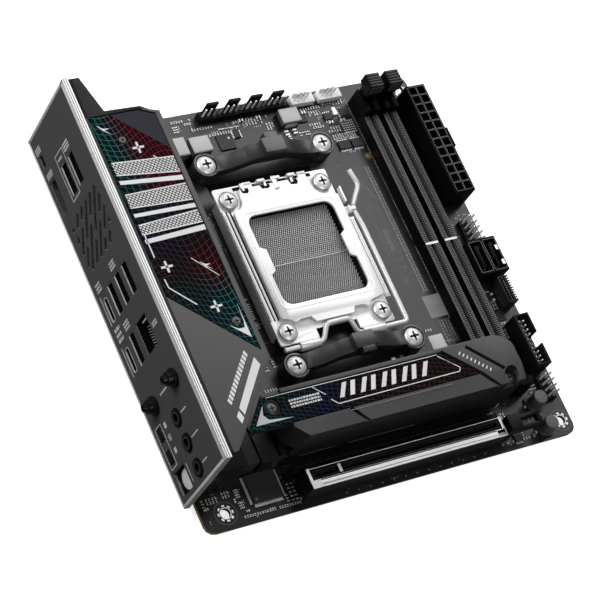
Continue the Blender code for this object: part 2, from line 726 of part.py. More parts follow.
def make_buttons():
    for i, opening in enumerate(PANEL_BUTTONS, 1):
        make_button(f"panel_button_{i}", opening, -3.9, 1.0)
    make_button("flash_button", FLASH_BUTTON, -3.5, 0.6)
    y0, y1, z0, z1 = FLASH_BUTTON
    body = blocks(((PORT_FRONT, y0 - 1.6, GAP), (5.0, y1 + 1.6, z1 + 1.4)))
    switch = add_part("flash_switch", body, "black_plastic")
    cut(switch, blocks(((PORT_FRONT - 1, y0, z0), (1.9, y1, z1))))


def make_optical_port():
    y0, y1, z0, z1 = OPTICAL
    body = blocks(((PORT_FRONT, y0 - 0.9, GAP), (10.0, y1 + 0.9, 12.6)))
    port = add_part("optical_port", body, "black_plastic")
    cut(port, blocks(((PORT_FRONT - 1, y0 + 0.3, z0 + 0.3), (8.2, y1 - 0.3, z1 - 0.3))))
    middle = (y0 + y1) / 2
    face = arc((middle, 6.0), 3.9, 180, 360, 10) + [(middle + 3.9, 10.1), (middle - 3.9, 10.1)]
    shutter = add_part("optical_shutter", prism(face, -2.1, -1.3, "X"), "shutter_plastic")
    set_pivot(shutter, (-1.7, middle, 9.9))


def make_wireless():
    """The upright radio module and its two screw-on aerial sockets."""
    module = add_part("wifi_module", blocks(((PORT_FRONT, 46.2, GAP), (21.0, 57.2, 35.0))), "dark_metal")
    cut(module, rods(ANTENNAS, 3.4, -4, 2.2, "X"))
    profile = [(0, 10.4), (2.8, 10.4), (2.8, 4.8), (3.7, 4.8), (3.7, 3.6), (2.6, 3.6)]
    profile += [(2.6, 1.6), (1.6, 1.6), (1.6, 0), (0, 0)]
    for i, (y, z) in enumerate(ANTENNAS, 1):
        tip = (ANTENNA_TIP, y, z)
        socket = add_turned(f"antenna_connector_{i}", tip, profile, "dark_metal", along_x=True)
        cut(socket, rods(((y, z),), 0.8, ANTENNA_TIP - 1, ANTENNA_TIP + 4, "X", 10))


# ---------------------------------------------------------------- cover and heatsinks


def cover_outline(inset=0.0):
    """The port cover seen from above, its wall line moved inward by inset."""
    far = SHIELD_Y[1] - 0.4
    left, right = SHIELD_LIP + GAP + inset, 29.5 - inset
    low = 14.2 + inset
    return [
        (left, low),
        (2.2 - inset * 0.4, low),
        (right, 45.4 + inset * 0.6),
        (right, 151.8 - inset * 0.6),
        (26.0 - inset * 0.3, 152.8 - inset),
        (22.4 - inset * 0.4, 155.0 - inset),
        (7.6 - inset, 155.4 - inset * 0.2),
        (3.4 - inset, far - inset),
        (left, far - inset),
    ]


def panel_outline(spread=0.0):
    """The printed panel on the cover, down to its slanted lower edge, grown all round by spread."""
    left, right, top = 0.4 - spread, 27.2 + spread, 153.4 + spread
    lower = [(left, 77.4 - spread * 0.4), (right, 49.5 - spread * 2.5)]
    return lower + [(right, top - 2.6), (right - 2.0, top - 1.8), (right - 6.0, top + 0.2), (left, top)]


def make_cover():
    cover = add_part("io_cover", prism(cover_outline(), 13.2, COVER_TOP), "cover_metal")
    hollow = prism(cover_outline(COVER_SKIN), 5, COVER_TOP - COVER_SKIN - 1.2)
    open_side = blocks(((24, 50, 5), (34, 151, 33.0)))
    cut(cover, hollow, open_side, prism(panel_outline(GAP), COVER_TOP - 1.5, COVER_TOP + 1))
    cut(cover, blocks(((-3, 8, 5), (0.8, 180, COVER_TOP - 6))), blocks(((-3, 8, 5), (13.6, 46, 25.4))))
    make_cover_panel()


def make_cover_panel():
    sheet = prism(panel_outline(), COVER_TOP - 1.2, COVER_TOP)
    panel = add_part("io_cover_panel", sheet, "printed_panel")
    end = [(26.6, 136.0), (28, 136.0), (28, 158), (9.0, 158), (9.0, 153.4)]
    cut(panel, prism(end, COVER_TOP - 0.4, COVER_TOP + 1))


def make_vrm_heatsink():
    """The finned block that cools the voltage regulators, under the port cover."""
    base = ((19.0, 60.0, 8.2), (45.0, 150.0, 13.0))
    sink = add_part("vrm_heatsink", blocks(base), "dark_metal")
    join(sink, blocks(((19.0, 60.0, 12.0), (28.0, 150.0, COVER_TOP - 3.2))))
    fins = [((23.0, 59, z), (30, 151, z + 2.2)) for z in (15.0, 19.4, 23.8, 28.2, 32.6)]
    slots = [((33.0 + i * 3.4, 59, 10.0), (34.6 + i * 3.4, 151, 14)) for i in range(4)]
    cut(sink, blocks(*fins), blocks(*slots))


def make_audio_shield():
    box = add_part("audio_shield", blocks(((13.4, 18.7, GAP), (26.9, 44.0, 9.8))), "cover_metal")
    cut(bevelled(box, 0.5), blocks(((14.2, 19.5, -1), (26.1, 43.2, 9.0))))


def make_chipset():
    add_part("chipset", blocks(((88, 22, GAP), (105, 36, 1.9))), "dark_metal")
    block = blocks(((27.3, 17.8, 2.2), (STACK_X[1], 37.2, 10.0)))
    sink = add_part("chipset_heatsink", block, "dark_metal")
    grooves = [((35 + i * 8.0, 20.5, 5.0), (38 + i * 8.0, 40, 12)) for i in range(12)]
    cut(sink, blocks(*grooves))


def make_storage_stack():
    """The raised carrier board, its socket and turning catch, and the big heatsink over them."""
    (x0, x1), (y0, y1) = STACK_X, STACK_Y
    sheet = blocks(((x0 + 1, 18.6, 10.4), (x1 - 0.6, y1 + 0.3, 11.6)))
    carrier = add_part("m2_carrier_board", sheet, "board")
    cut(carrier, rods(((46.0, 27.6),), 1.6, 9, 13))
    socket = add_part("m2_socket", blocks(((124.0, 18.9, 11.9), (131.0, 36.6, 15.8))), "black_plastic")
    cut(socket, blocks(((120.0, 20.2, 13.2), (128.6, 35.4, 14.4))))
    profile = [(0, 4.0), (2.6, 4.0), (2.6, 2.4), (1.2, 2.4), (1.2, 0), (0, 0)]
    catch = add_turned("m2_catch", (46.0, 27.6, 10.3), profile, "black_plastic")
    join(catch, blocks(((45.2, 25.6, 13.0), (50.6, 29.6, 14.0))))
    side = [(y0, 10.4), (y0, 29.2), (23.2, STACK_TOP), (y1, STACK_TOP)]
    side += [(y1, 16.6), (y0 + 1.2, 16.6), (y0 + 1.2, 10.4)]
    sink = add_part("m2_heatsink", prism(side, x0, x1, "X"), "cover_metal")
    shelf = [(15.6, 23.3), (x0 + 2, 23.3), (x0 + 2, y1), (26.9, y1)]
    join(sink, prism(shelf, 27.6, STACK_TOP - 0.9))
    corner = [(x1 - 9, y1 + 1), (x1 - 3.0, y1 - 1.6), (x1 - 0.4, y1 - 4.5)]
    corner += [(x1 + 1, y1 - 9), (x1 + 2, y1 + 2)]
    lower_end = [(x0 - 2, 23.2), (x0 - 2, y0 - 2), (39.1, y0 - 2), (39.1, y0)]
    grooves = diagonal((105.4, 35.4), (125.8, 16.0), 1.5), diagonal((116.6, 35.0), (129.0, 22.6), 1.5)
    notch = diagonal((58.5, 23.2), (67.0, 14.6), 1.4)
    cut(sink, prism(corner, 5, 40), prism(lower_end, 5, 40))
    cut(sink, prism(m2_panel_outline(0.3), STACK_TOP - 1.2, 40))
    cut(sink, *[prism(groove, STACK_TOP - 3.0, 40) for groove in (*grooves, notch)])
    cut(sink, rods(((131.6, 20.0),), 3.3, 24.0, 40), blocks(((128.8, 12, 24), (134.4, 20, 40))))
    panel = add_part("m2_panel", prism(m2_panel_outline(), STACK_TOP - 0.9, STACK_TOP), "printed_panel")
    cut(panel, rods(((28.4, 30.6),), 3.3, 20, 40))


def m2_panel_outline(spread=0.0):
    """The printed strip on the storage heatsink, with both ends cut at a slant."""
    y_low, y_high = 23.2, 35.0
    low, high = y_low - spread, y_high + spread
    return [(15.0, low), (117.8 + spread, low), (105.0 + spread, high), (25.0, high)]


def diagonal(start, end, width):
    """The outline of a straight band."""
    a, b = Vector(start), Vector(end)
    across = Vector((-(b - a).y, (b - a).x)).normalized() * width / 2
    return [tuple(a - across), tuple(b - across), tuple(b + across), tuple(a + across)]


# ---------------------------------------------------------------- the whole object


def shade_parts():
    for obj in PARTS.objects:
        if obj.type == "MESH":
            obj.data.shade_smooth()
            obj.data.set_sharp_from_angle(angle=math.radians(35))


def build():
    make_board()
    make_backplate()
    make_screws()
    make_socket_base()
    make_socket_frame()
    make_load_plate()
    make_load_lever()
    make_brackets()
    for letter, x in zip("ab", DIMM_X):
        make_dimm_slot(f"dimm_slot_{letter}", x)
        make_dimm_latch(f"dimm_latch_{letter}", x)
    make_expansion_slot()
    make_expansion_latch()
    make_power_connectors()
    make_sata()
    make_front_connectors()
    make_pin_headers()
    make_port_plate()
    make_port_stacks()
    make_audio_block()
    make_buttons()
    make_optical_port()
    make_wireless()
    make_cover()
    make_vrm_heatsink()
    make_audio_shield()
    make_chipset()
    make_storage_stack()
    shade_parts()


build()
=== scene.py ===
"""Looks of a small desktop computer motherboard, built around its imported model.

Board coordinates are millimetres: X from the rear port edge, Y from the expansion slot edge and Z up
from the component face. `spot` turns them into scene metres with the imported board's own box.
"""

import math
import random
from functools import partialmethod

import bmesh
import bpy
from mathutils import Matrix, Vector
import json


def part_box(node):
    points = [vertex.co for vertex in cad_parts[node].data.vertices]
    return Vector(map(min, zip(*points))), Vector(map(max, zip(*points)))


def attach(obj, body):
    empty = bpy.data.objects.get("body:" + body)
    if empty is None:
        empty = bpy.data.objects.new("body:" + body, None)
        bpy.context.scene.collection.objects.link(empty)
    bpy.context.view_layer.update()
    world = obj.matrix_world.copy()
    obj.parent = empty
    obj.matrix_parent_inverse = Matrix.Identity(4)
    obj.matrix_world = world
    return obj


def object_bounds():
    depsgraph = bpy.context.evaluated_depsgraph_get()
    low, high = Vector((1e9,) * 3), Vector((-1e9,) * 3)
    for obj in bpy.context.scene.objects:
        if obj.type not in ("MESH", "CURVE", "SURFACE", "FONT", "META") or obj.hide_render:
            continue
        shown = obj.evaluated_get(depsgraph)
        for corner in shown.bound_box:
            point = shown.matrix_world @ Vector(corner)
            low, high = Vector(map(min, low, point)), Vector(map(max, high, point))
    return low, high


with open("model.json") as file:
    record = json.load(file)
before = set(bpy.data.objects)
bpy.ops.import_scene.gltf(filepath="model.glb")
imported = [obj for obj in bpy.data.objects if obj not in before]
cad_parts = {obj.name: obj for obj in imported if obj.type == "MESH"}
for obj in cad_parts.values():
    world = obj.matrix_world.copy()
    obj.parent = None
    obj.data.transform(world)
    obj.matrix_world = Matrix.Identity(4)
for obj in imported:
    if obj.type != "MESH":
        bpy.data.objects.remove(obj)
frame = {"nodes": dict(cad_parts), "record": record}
cad_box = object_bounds()

MM = 0.001
BOARD_THICK = 1.6
BOARD_LOW = Vector(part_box("pcb")[0])
PRINT = 0.03

dice = random.Random(11)


def spot(x, y, z):
    """A place on the board, in scene metres."""
    return BOARD_LOW + Vector((x, y, z + BOARD_THICK)) * MM


def steps(first, last, count):
    """Evenly spaced values from first to last."""
    return [first + (last - first) * i / max(count - 1, 1) for i in range(count)]


def grid(x, y, columns, rows, dx, dy):
    """Places in even columns and rows, starting from the first place."""
    return [(x + i * dx, y + j * dy) for i in range(columns) for j in range(rows)]


# ---------------------------------------------------------------- camera, light and floor

CAMERA_PLACE = (-394.35, -221.74, 745.89)
CAMERA_TURN = (30.572, -21.823, -25.098)
CAMERA_LENS = 144.39
WORLD_STRENGTH = 0.105
# Round lamps: name, place in metres, size and power.
LAMPS = (
    ("back_light", (0.75, 0.9, 1.05), 1.5, 15.0),
    ("port_light", (-0.5, 0.42, 0.4), 0.6, 4.9),
    ("front_light", (0.02, -0.38, 0.5), 0.35, 1.1),
)
LAMP_TARGET = (0.0, 0.0, 0.01)


def make_camera():
    """A long lens from the near left, high over the board."""
    camera = bpy.data.objects.new("camera", bpy.data.cameras.new("camera"))
    camera.location = spot(*CAMERA_PLACE)
    camera.rotation_euler = [math.radians(angle) for angle in CAMERA_TURN]
    camera.data.lens = CAMERA_LENS
    camera.data.clip_start = 0.01
    bpy.context.scene.collection.objects.link(camera)
    bpy.context.scene.camera = camera


def make_light():
    """A plain white surround and three lamps aimed at the board."""
    world = bpy.data.worlds.new("studio")
    world.use_nodes = True
    background = world.node_tree.nodes["Background"]
    background.inputs["Color"].default_value = (1.0, 1.0, 1.0, 1.0)
    background.inputs["Strength"].default_value = WORLD_STRENGTH
    bpy.context.scene.world = world
    bpy.context.scene.view_settings.view_transform = "Standard"
    for name, place, size, power in LAMPS:
        light = bpy.data.lights.new(name, "AREA")
        light.shape = "DISK"
        light.size = size
        light.energy = power
        lamp = bpy.data.objects.new(name, light)
        lamp.location = place
        lamp.rotation_euler = (Vector(LAMP_TARGET) - Vector(place)).to_track_quat("-Z", "Y").to_euler()
        bpy.context.scene.collection.objects.link(lamp)


# ---------------------------------------------------------------- materials


def add_node(tree, kind, inputs=None, **settings):
    """Adds a shader node, sets or links its named inputs and returns it."""
    made = tree.nodes.new("ShaderNode" + kind)
    for key, value in settings.items():
        setattr(made, key, value)
    for key, value in (inputs or {}).items():
        if isinstance(value, Value):
            value = value.socket
        if isinstance(value, bpy.types.NodeSocket):
            tree.links.new(value, made.inputs[key])
        else:
            made.inputs[key].default_value = value
    return made


class Value:
    """A number inside a material's nodes. Arithmetic on it adds nodes, and a test gives 1 or 0."""

    def __init__(self, socket):
        self.socket = socket

    def apply(self, operation, *others):
        """The result of one operation on this value and the others."""
        inputs = dict(enumerate((self,) + others))
        return Value(add_node(self.socket.id_data, "Math", inputs, operation=operation).outputs[0])

    def share(self, start, end):
        """How far the value has come from start to end, from 0 to 1."""
        return Value(add_node(self.socket.id_data, "MapRange", {0: self, 1: start, 2: end}).outputs[0])

    __add__ = partialmethod(apply, "ADD")
    __sub__ = partialmethod(apply, "SUBTRACT")
    __mul__ = partialmethod(apply, "MULTIPLY")
    __abs__ = partialmethod(apply, "ABSOLUTE")
    __gt__ = partialmethod(apply, "GREATER_THAN")
    __lt__ = partialmethod(apply, "LESS_THAN")
    either = partialmethod(apply, "MAXIMUM")
    sine = partialmethod(apply, "SINE")


def mix_colour(tree, factor, first, second):
    """The first colour where factor is 0 and the second where it is 1."""
    return add_node(tree, "MixRGB", {0: factor, 1: first, 2: second}).outputs[0]


def grey(value, warm=0.0):
    """A grey colour, made warmer by a share."""
    return (value * (1 + warm), value, value * (1 - warm), 1.0)


def scaled(colour, amount):
    """A lighter or darker colour, up to full white."""
    return tuple(min(c * amount, 1.0) for c in colour[:3]) + (1.0,)


def noise(tree, place, scale, detail):
    """A noise pattern's strength at a place."""
    return Value(add_node(tree, "TexNoise", {"Vector": place, "Scale": scale, "Detail": detail}).outputs[0])


def surface(name, colour, roughness, metallic=0.0, specular=0.5, shade=0.25, grain=0.35, bump=0.2,
            stretch=(1, 1, 1)):
    """A material with mottled colour, uneven gloss and fine relief; grain is the relief's size in mm."""
    material = bpy.data.materials.new(name)
    material.use_nodes = True
    tree = material.node_tree
    shader = tree.nodes["Principled BSDF"]
    place = add_node(tree, "TexCoord").outputs["Object"]
    mapped = add_node(tree, "Mapping", {"Vector": place, "Scale": stretch}).outputs[0]
    fine = noise(tree, mapped, 1 / (grain * MM), 3.0)
    blend = noise(tree, mapped, 90.0, 4.0) * 0.5 + fine * 0.5
    painted = mix_colour(tree, blend, scaled(colour, 1 - shade), scaled(colour, 1 + shade))
    gloss = add_node(tree, "MapRange", {0: blend, 3: roughness * 0.8, 4: roughness * 1.2}).outputs[0]
    relief = add_node(tree, "Bump", {"Strength": bump, "Distance": 0.1 * MM, "Height": fine}).outputs[0]
    for key, socket in (("Base Color", painted), ("Roughness", gloss), ("Normal", relief)):
        tree.links.new(socket, shader.inputs[key])
    shader.inputs["Metallic"].default_value = metallic
    shader.inputs["Specular IOR Level"].default_value = specular
    return material


def board_place(material):
    """The shaded point's X, Y and Z in board millimetres."""
    tree = material.node_tree
    place = add_node(tree, "TexCoord").outputs["Object"]
    moved = add_node(tree, "VectorMath", {0: place, 1: tuple(-spot(0, 0, 0))}, operation="ADD").outputs[0]
    board = add_node(tree, "VectorMath", {0: moved, "Scale": 1 / MM}, operation="SCALE").outputs[0]
    return [Value(socket) for socket in add_node(tree, "SeparateXYZ", {0: board}).outputs]


def facing(material, axis):
    """How far the surface faces along an axis, from -1 to 1."""
    normal = add_node(material.node_tree, "NewGeometry").outputs["Normal"]
    return Value(add_node(material.node_tree, "SeparateXYZ", {0: normal}).outputs[axis])


def overlay(material, mask, colour, metallic=None, roughness=None):
    """Paints colour over a finished material where mask is 1."""
    tree = material.node_tree
    inputs = tree.nodes["Principled BSDF"].inputs
    under = inputs["Base Color"].links[0].from_socket
    tree.links.new(mix_colour(tree, mask, under, colour), inputs["Base Color"])
    if metallic is not None:
        start = inputs["Metallic"].default_value
        blend = add_node(tree, "MapRange", {0: mask, 3: start, 4: metallic}).outputs[0]
        tree.links.new(blend, inputs["Metallic"])
    if roughness is not None:
        gloss = inputs["Roughness"].links[0].from_socket
        blend = add_node(tree, "Mix", {0: mask, 2: gloss, 3: roughness}, data_type="FLOAT").outputs[0]
        tree.links.new(blend, inputs["Roughness"])


def stripe(value, pitch, share):
    """1 on thin stripes that repeat every pitch, each a share of it wide."""
    return value.apply("DIVIDE", pitch).apply("PINGPONG", 0.5) < share / 2


def paint_cover_shade(material):
    """Paints shade over the cover's far end, and a painted shadow along its edge where it meets the port
    plate.
    """
    x, y, _ = board_place(material)
    # painted shade: the far end is darker because less light falls on it
    overlay(material, y > 153.6, grey(0.014), metallic=0.7)
    # painted shadow in the gap beside the port plate
    overlay(material, x < 0.3, grey(0.003))


def painted_rear_shade(material):
    """Paints shade over the far rim of the slot's shield, leaving a thin bright line along it as a painted
    highlight.
    """
    x, y, _ = board_place(material)
    rear = (y > 10.2) * (abs(x - 86.5) < 43.4)
    line = abs(y - 10.45) < 0.12
    # painted shade over the rim, with the thin line left bright as a painted highlight
    overlay(material, rear - rear * line, grey(0.01))


def solder_mask(name):
    """Black lacquer over faint copper traces, with painted shade at the near left, and a bare fibreglass
    edge.
    """
    material = surface(name, grey(0.0105), 0.32, specular=0.5, shade=0.12, grain=0.25, bump=0.1)
    tree = material.node_tree
    x, y, _ = board_place(material)
    patches = noise(tree, add_node(tree, "TexCoord").outputs["Object"], 70.0, 1.0)
    slanted = stripe(x + y, 1.1, 0.35) * (patches > 0.56)
    upright = stripe(x, 0.8, 0.35) * (patches < 0.42)
    overlay(material, (slanted + upright) * 0.5, grey(0.03))
    # painted shade towards the near left corner
    overlay(material, y.share(20.0, 9.0) * x.share(60.0, 30.0), grey(0.012), metallic=0.75)
    edge = (abs(facing(material, 2)) < 0.5) * (x < 8.0)
    overlay(material, edge, (0.55, 0.36, 0.13, 1.0))
    return material


def plate_coating(name):
    """Dark coated port plate whose folded rim is bare bright steel, with painted shade in two grooves along
    it.
    """
    material = surface(name, grey(0.062), 0.5, specular=0.35, shade=0.08, grain=0.15, bump=0.12)
    x, y, z = board_place(material)
    rim = x > -3.4
    for side in (z > 39.4, z < -1.3, y < 14.0, y > 170.0):
        rim = rim.either(side)
    overlay(material, rim, grey(0.62), metallic=0.4, roughness=0.3)
    # painted shade in the rim's grooves
    for groove in (-3.12, -2.2):
        overlay(material, (abs(x - groove) < 0.15) * rim, grey(0.03))
    return material


def ramp(tree, value, stops):
    """A colour ramp with (position, colour) stops."""
    made = add_node(tree, "ValToRGB", {0: value})
    elements = made.color_ramp.elements
    elements[0].position, elements[0].color = stops[0]
    elements[1].position, elements[1].color = stops[-1]
    for position, colour in stops[1:-1]:
        elements.new(position).color = colour
    return made.outputs[0]


def grid_print(name, across, tilt, span, near, far, blend, lean, pitch, bend):
    """Glossy black panel printed with a warped grid; its hues run along two ramps blended across it."""
    material = surface(name, grey(0.002), 0.25, specular=0.02, shade=0.2, bump=0.0)
    tree = material.node_tree
    place = board_place(material)
    u, v = place[across], place[1 - across]
    sway = (v * 0.07 + u * 0.13).sine()
    swell = (u * 0.21 + v * 0.045).sine()
    columns = stripe(sway * bend + v * tilt + u, pitch[0], 0.12)
    rows = stripe(swell * (bend * 1.3) + v, pitch[1], 0.1)
    where = v.share(*span)
    aside = (v * lean + u).share(*blend)
    hue = mix_colour(tree, aside, ramp(tree, where, near), ramp(tree, where, far))
    glow = add_node(tree, "MixRGB", {0: 1.0, 1: hue, 2: grey(0.03)}, blend_type="MULTIPLY").outputs[0]
    overlay(material, 1.0, glow)
    overlay(material, columns.either(rows), hue)
    return material


def plain_facet(material):
    """Leaves the panel's slanted far corner without print."""
    x, y, _ = board_place(material)
    overlay(material, x * 0.989 + y > 162.3, (0.03, 0.029, 0.038, 1.0))


def hatched_print(name):
    """Silver print woven with a fine dark hatch."""
    material = surface(name, grey(0.55), 0.35, metallic=0.2, shade=0.2, grain=0.8, bump=0.0)
    x, y, _ = board_place(material)
    overlay(material, stripe(x * 0.8 + y, 1.3, 0.46).either(stripe(x * -1.2 + y, 1.9, 0.3)), grey(0.02))
    return material


make_camera()
make_light()

TEAL = (0.014, 0.115, 0.125, 1.0)
DIM_TEAL = (0.012, 0.042, 0.052, 1.0)
WINE = (0.14, 0.005, 0.022, 1.0)
VIOLET = (0.016, 0.018, 0.064, 1.0)
RUST = (0.036, 0.013, 0.014, 1.0)

SOLDER_MASK = solder_mask("solder_mask")
PORT_PLATE = plate_coating("port_plate")
COATING = surface("cover_coating", grey(0.062), 0.5, specular=0.35, shade=0.08, grain=0.15, bump=0.12)
# painted shade on the cover's faces that turn towards -Y
overlay(COATING, facing(COATING, 1) < -0.5, grey(0.013))
paint_cover_shade(COATING)
DARK_COATING = surface("dark_coating", grey(0.016), 0.45, specular=0.35, grain=0.15)
# painted shade on faces that turn towards -Y
overlay(DARK_COATING, facing(DARK_COATING, 1) < -0.3, grey(0.005))
BLACK_PLASTIC = surface("black_plastic", grey(0.0035), 0.4, specular=0.15, grain=0.2, bump=0.15)
DEEP_PLASTIC = surface("deep_plastic", grey(0.0022), 0.5, specular=0.08, grain=0.2, bump=0.15)
SATIN_PLASTIC = surface("satin_plastic", grey(0.02), 0.33, specular=0.75, grain=0.2, bump=0.12)
WHITE_PLASTIC = surface("white_plastic", grey(0.85, 0.01), 0.4, shade=0.05)
STEEL = surface("plated_steel", grey(0.77), 0.36, 0.36, shade=0.04, grain=0.3, bump=0.05, stretch=(1, 8, 1))
BRIGHT = surface("bright_steel", grey(0.98), 0.42, 0.45, shade=0.04, grain=0.4, bump=0.03)
SLOT_METAL = surface("slot_metal", grey(0.98), 0.42, 0.45, shade=0.04, grain=0.4, bump=0.03)
# painted shade: the shield's sides are darker than its top
overlay(SLOT_METAL, facing(SLOT_METAL, 2) < 0.5, grey(0.012))
painted_rear_shade(SLOT_METAL)
TIN = surface("tinned_solder", grey(0.8), 0.3, 0.45, shade=0.1, grain=0.3, bump=0.3)
GOLD = surface("gold_plate", (0.8, 0.52, 0.2, 1.0), 0.3, 0.9, shade=0.08)
CHIP = surface("chip_epoxy", grey(0.02), 0.5, specular=0.4, shade=0.15, grain=0.08, bump=0.2)
CERAMIC = surface("brown_ceramic", (0.13, 0.1, 0.075, 1.0), 0.5, shade=0.2)
CHOKE = surface("choke_block", grey(0.4), 0.45, 0.2, shade=0.05, grain=0.12, bump=0.2)
INK = surface("white_ink", grey(0.62), 0.6, shade=0.12, bump=0.0)
FAINT_INK = surface("faint_ink", grey(0.16), 0.6, shade=0.2, bump=0.0)
LABEL = surface("paper_label", grey(0.66), 0.7, shade=0.08, grain=0.3)
PALE_LABEL = surface("pale_label", grey(0.22), 0.6, shade=0.1, grain=0.3)
CONTACT = surface("contact_metal", grey(0.07), 0.4, 0.3, shade=0.1)
COMB = surface("comb_metal", grey(0.17), 0.45, 0.2, shade=0.15)
SPRING = surface("spring_contact", grey(0.58), 0.45, 0.3, shade=0.1)
AUDIO_COATING = surface("audio_coating", grey(0.03), 0.5, specular=0.35, grain=0.15)
CAN = surface("capacitor_can", grey(0.085), 0.45, specular=0.5, grain=0.2)
PORT_METAL = surface("dark_port_metal", grey(0.018), 0.4, 0.4, shade=0.1)
BLACK_BRASS = surface("black_brass", grey(0.022), 0.32, 0.85, shade=0.1)
SHADOW = surface("deep_shadow", grey(0.002), 0.6, specular=0.1)
SHUTTER_PLASTIC = surface("shutter_plastic", grey(0.72), 0.35, shade=0.05)
HATCH = hatched_print("hatched_silver")
PANEL = grid_print(
    "cover_print", 0, 0.18, (49.0, 154.0),
    [(0.0, TEAL), (0.24, DIM_TEAL), (0.36, RUST), (0.52, VIOLET), (0.66, DIM_TEAL), (0.8, TEAL), (1.0, TEAL)],
    [(0.0, TEAL), (0.22, TEAL), (0.34, WINE), (0.46, RUST), (0.58, VIOLET), (0.7, WINE), (1.0, WINE)],
    (24.2, 34.2), 0.14, (2.15, 2.5), 1.8)
plain_facet(PANEL)
M2_PRINT = grid_print(
    "long_print", 1, 0.3, (15.0, 118.0),
    [(0.0, TEAL), (0.16, DIM_TEAL), (0.32, VIOLET), (0.5, RUST), (1.0, RUST)],
    [(0.0, TEAL), (0.2, DIM_TEAL), (0.36, VIOLET), (0.5, RUST), (1.0, RUST)],
    (22.0, 34.0), 0.0, (1.9, 2.2), 1.2)

NODE_MATERIALS = {
    "board": SOLDER_MASK,
    "black_plastic": BLACK_PLASTIC,
    "white_plastic": WHITE_PLASTIC,
    "steel": STEEL,
    "cover_metal": COATING,
    "dark_metal": DARK_COATING,
    "printed_panel": PANEL,
    "shutter_plastic": SHUTTER_PLASTIC,
}
OWN_MATERIALS = {
    "io_shield": PORT_PLATE,
    "m2_panel": M2_PRINT,
    "cooler_bracket_upper": SATIN_PLASTIC,
    "cooler_bracket_lower": SATIN_PLASTIC,
    "pcie_slot_shield": SLOT_METAL,
    "audio_shield": AUDIO_COATING,
    "typec_header": PORT_METAL,
    "antenna_connector_1": BLACK_BRASS,
    "antenna_connector_2": BLACK_BRASS,
    "atx_power_connector": DEEP_PLASTIC,
    "sata_ports": DEEP_PLASTIC,
    "dimm_slot_a": DEEP_PLASTIC,
    "dimm_slot_b": DEEP_PLASTIC,
}


def smooth_group():
    """A modifier that shades smooth between faces that meet gently."""
    group = bpy.data.node_groups.new("smooth_by_angle", "GeometryNodeTree")
    for way in ("INPUT", "OUTPUT"):
        group.interface.new_socket("Geometry", in_out=way, socket_type="NodeSocketGeometry")
    kinds = ("NodeGroupInput", "NodeGroupOutput", "GeometryNodeInputMeshEdgeAngle", "FunctionNodeCompare",
             "GeometryNodeSetShadeSmooth", "GeometryNodeSetShadeSmooth")
    start, end, angle, sharp, faces, edges = [group.nodes.new(kind) for kind in kinds]
    sharp.inputs[1].default_value = math.radians(32)
    edges.domain = "EDGE"
    edges.inputs["Shade Smooth"].default_value = False
    for source, target in ((angle, sharp.inputs[0]), (start, faces.inputs[0]), (faces, edges.inputs[0]),
                           (sharp, edges.inputs["Selection"]), (edges, end.inputs[0])):
        group.links.new(source.outputs[0], target)
    return group


SMOOTH = smooth_group()
PLAIN_EDGED = {"pcb", "io_shield", "io_cover_panel", "m2_panel", "m2_carrier_board"}
EDGE_WIDTH = 0.22


def finish_edges(obj, width):
    """Welds the mesh, breaks its sharp edges and shades it smooth by angle."""
    weld = obj.modifiers.new("weld", "WELD")
    weld.merge_threshold = 0.001 * MM
    if width:
        bevel = obj.modifiers.new("edges", "BEVEL")
        bevel.width = width * MM
        bevel.segments = 2
        bevel.limit_method = "ANGLE"
        bevel.angle_limit = math.radians(40)
    smooth = obj.modifiers.new("smooth", "NODES")
    smooth.node_group = SMOOTH


def dress_nodes():
    """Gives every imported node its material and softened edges."""
    for row in frame["record"]["subparts"]:
        name = row["node"]
        obj = frame["nodes"][name]
        for slot in obj.material_slots:
            slot.material = OWN_MATERIALS.get(name, NODE_MATERIALS[row["material_slot"]])
        finish_edges(obj, 0 if name in PLAIN_EDGED else EDGE_WIDTH)


# ---------------------------------------------------------------- shapes

PLANES = {
    "x": lambda u, v, w: (w, u, v),
    "y": lambda u, v, w: (u, w, v),
    "z": lambda u, v, w: (u, v, w),
}


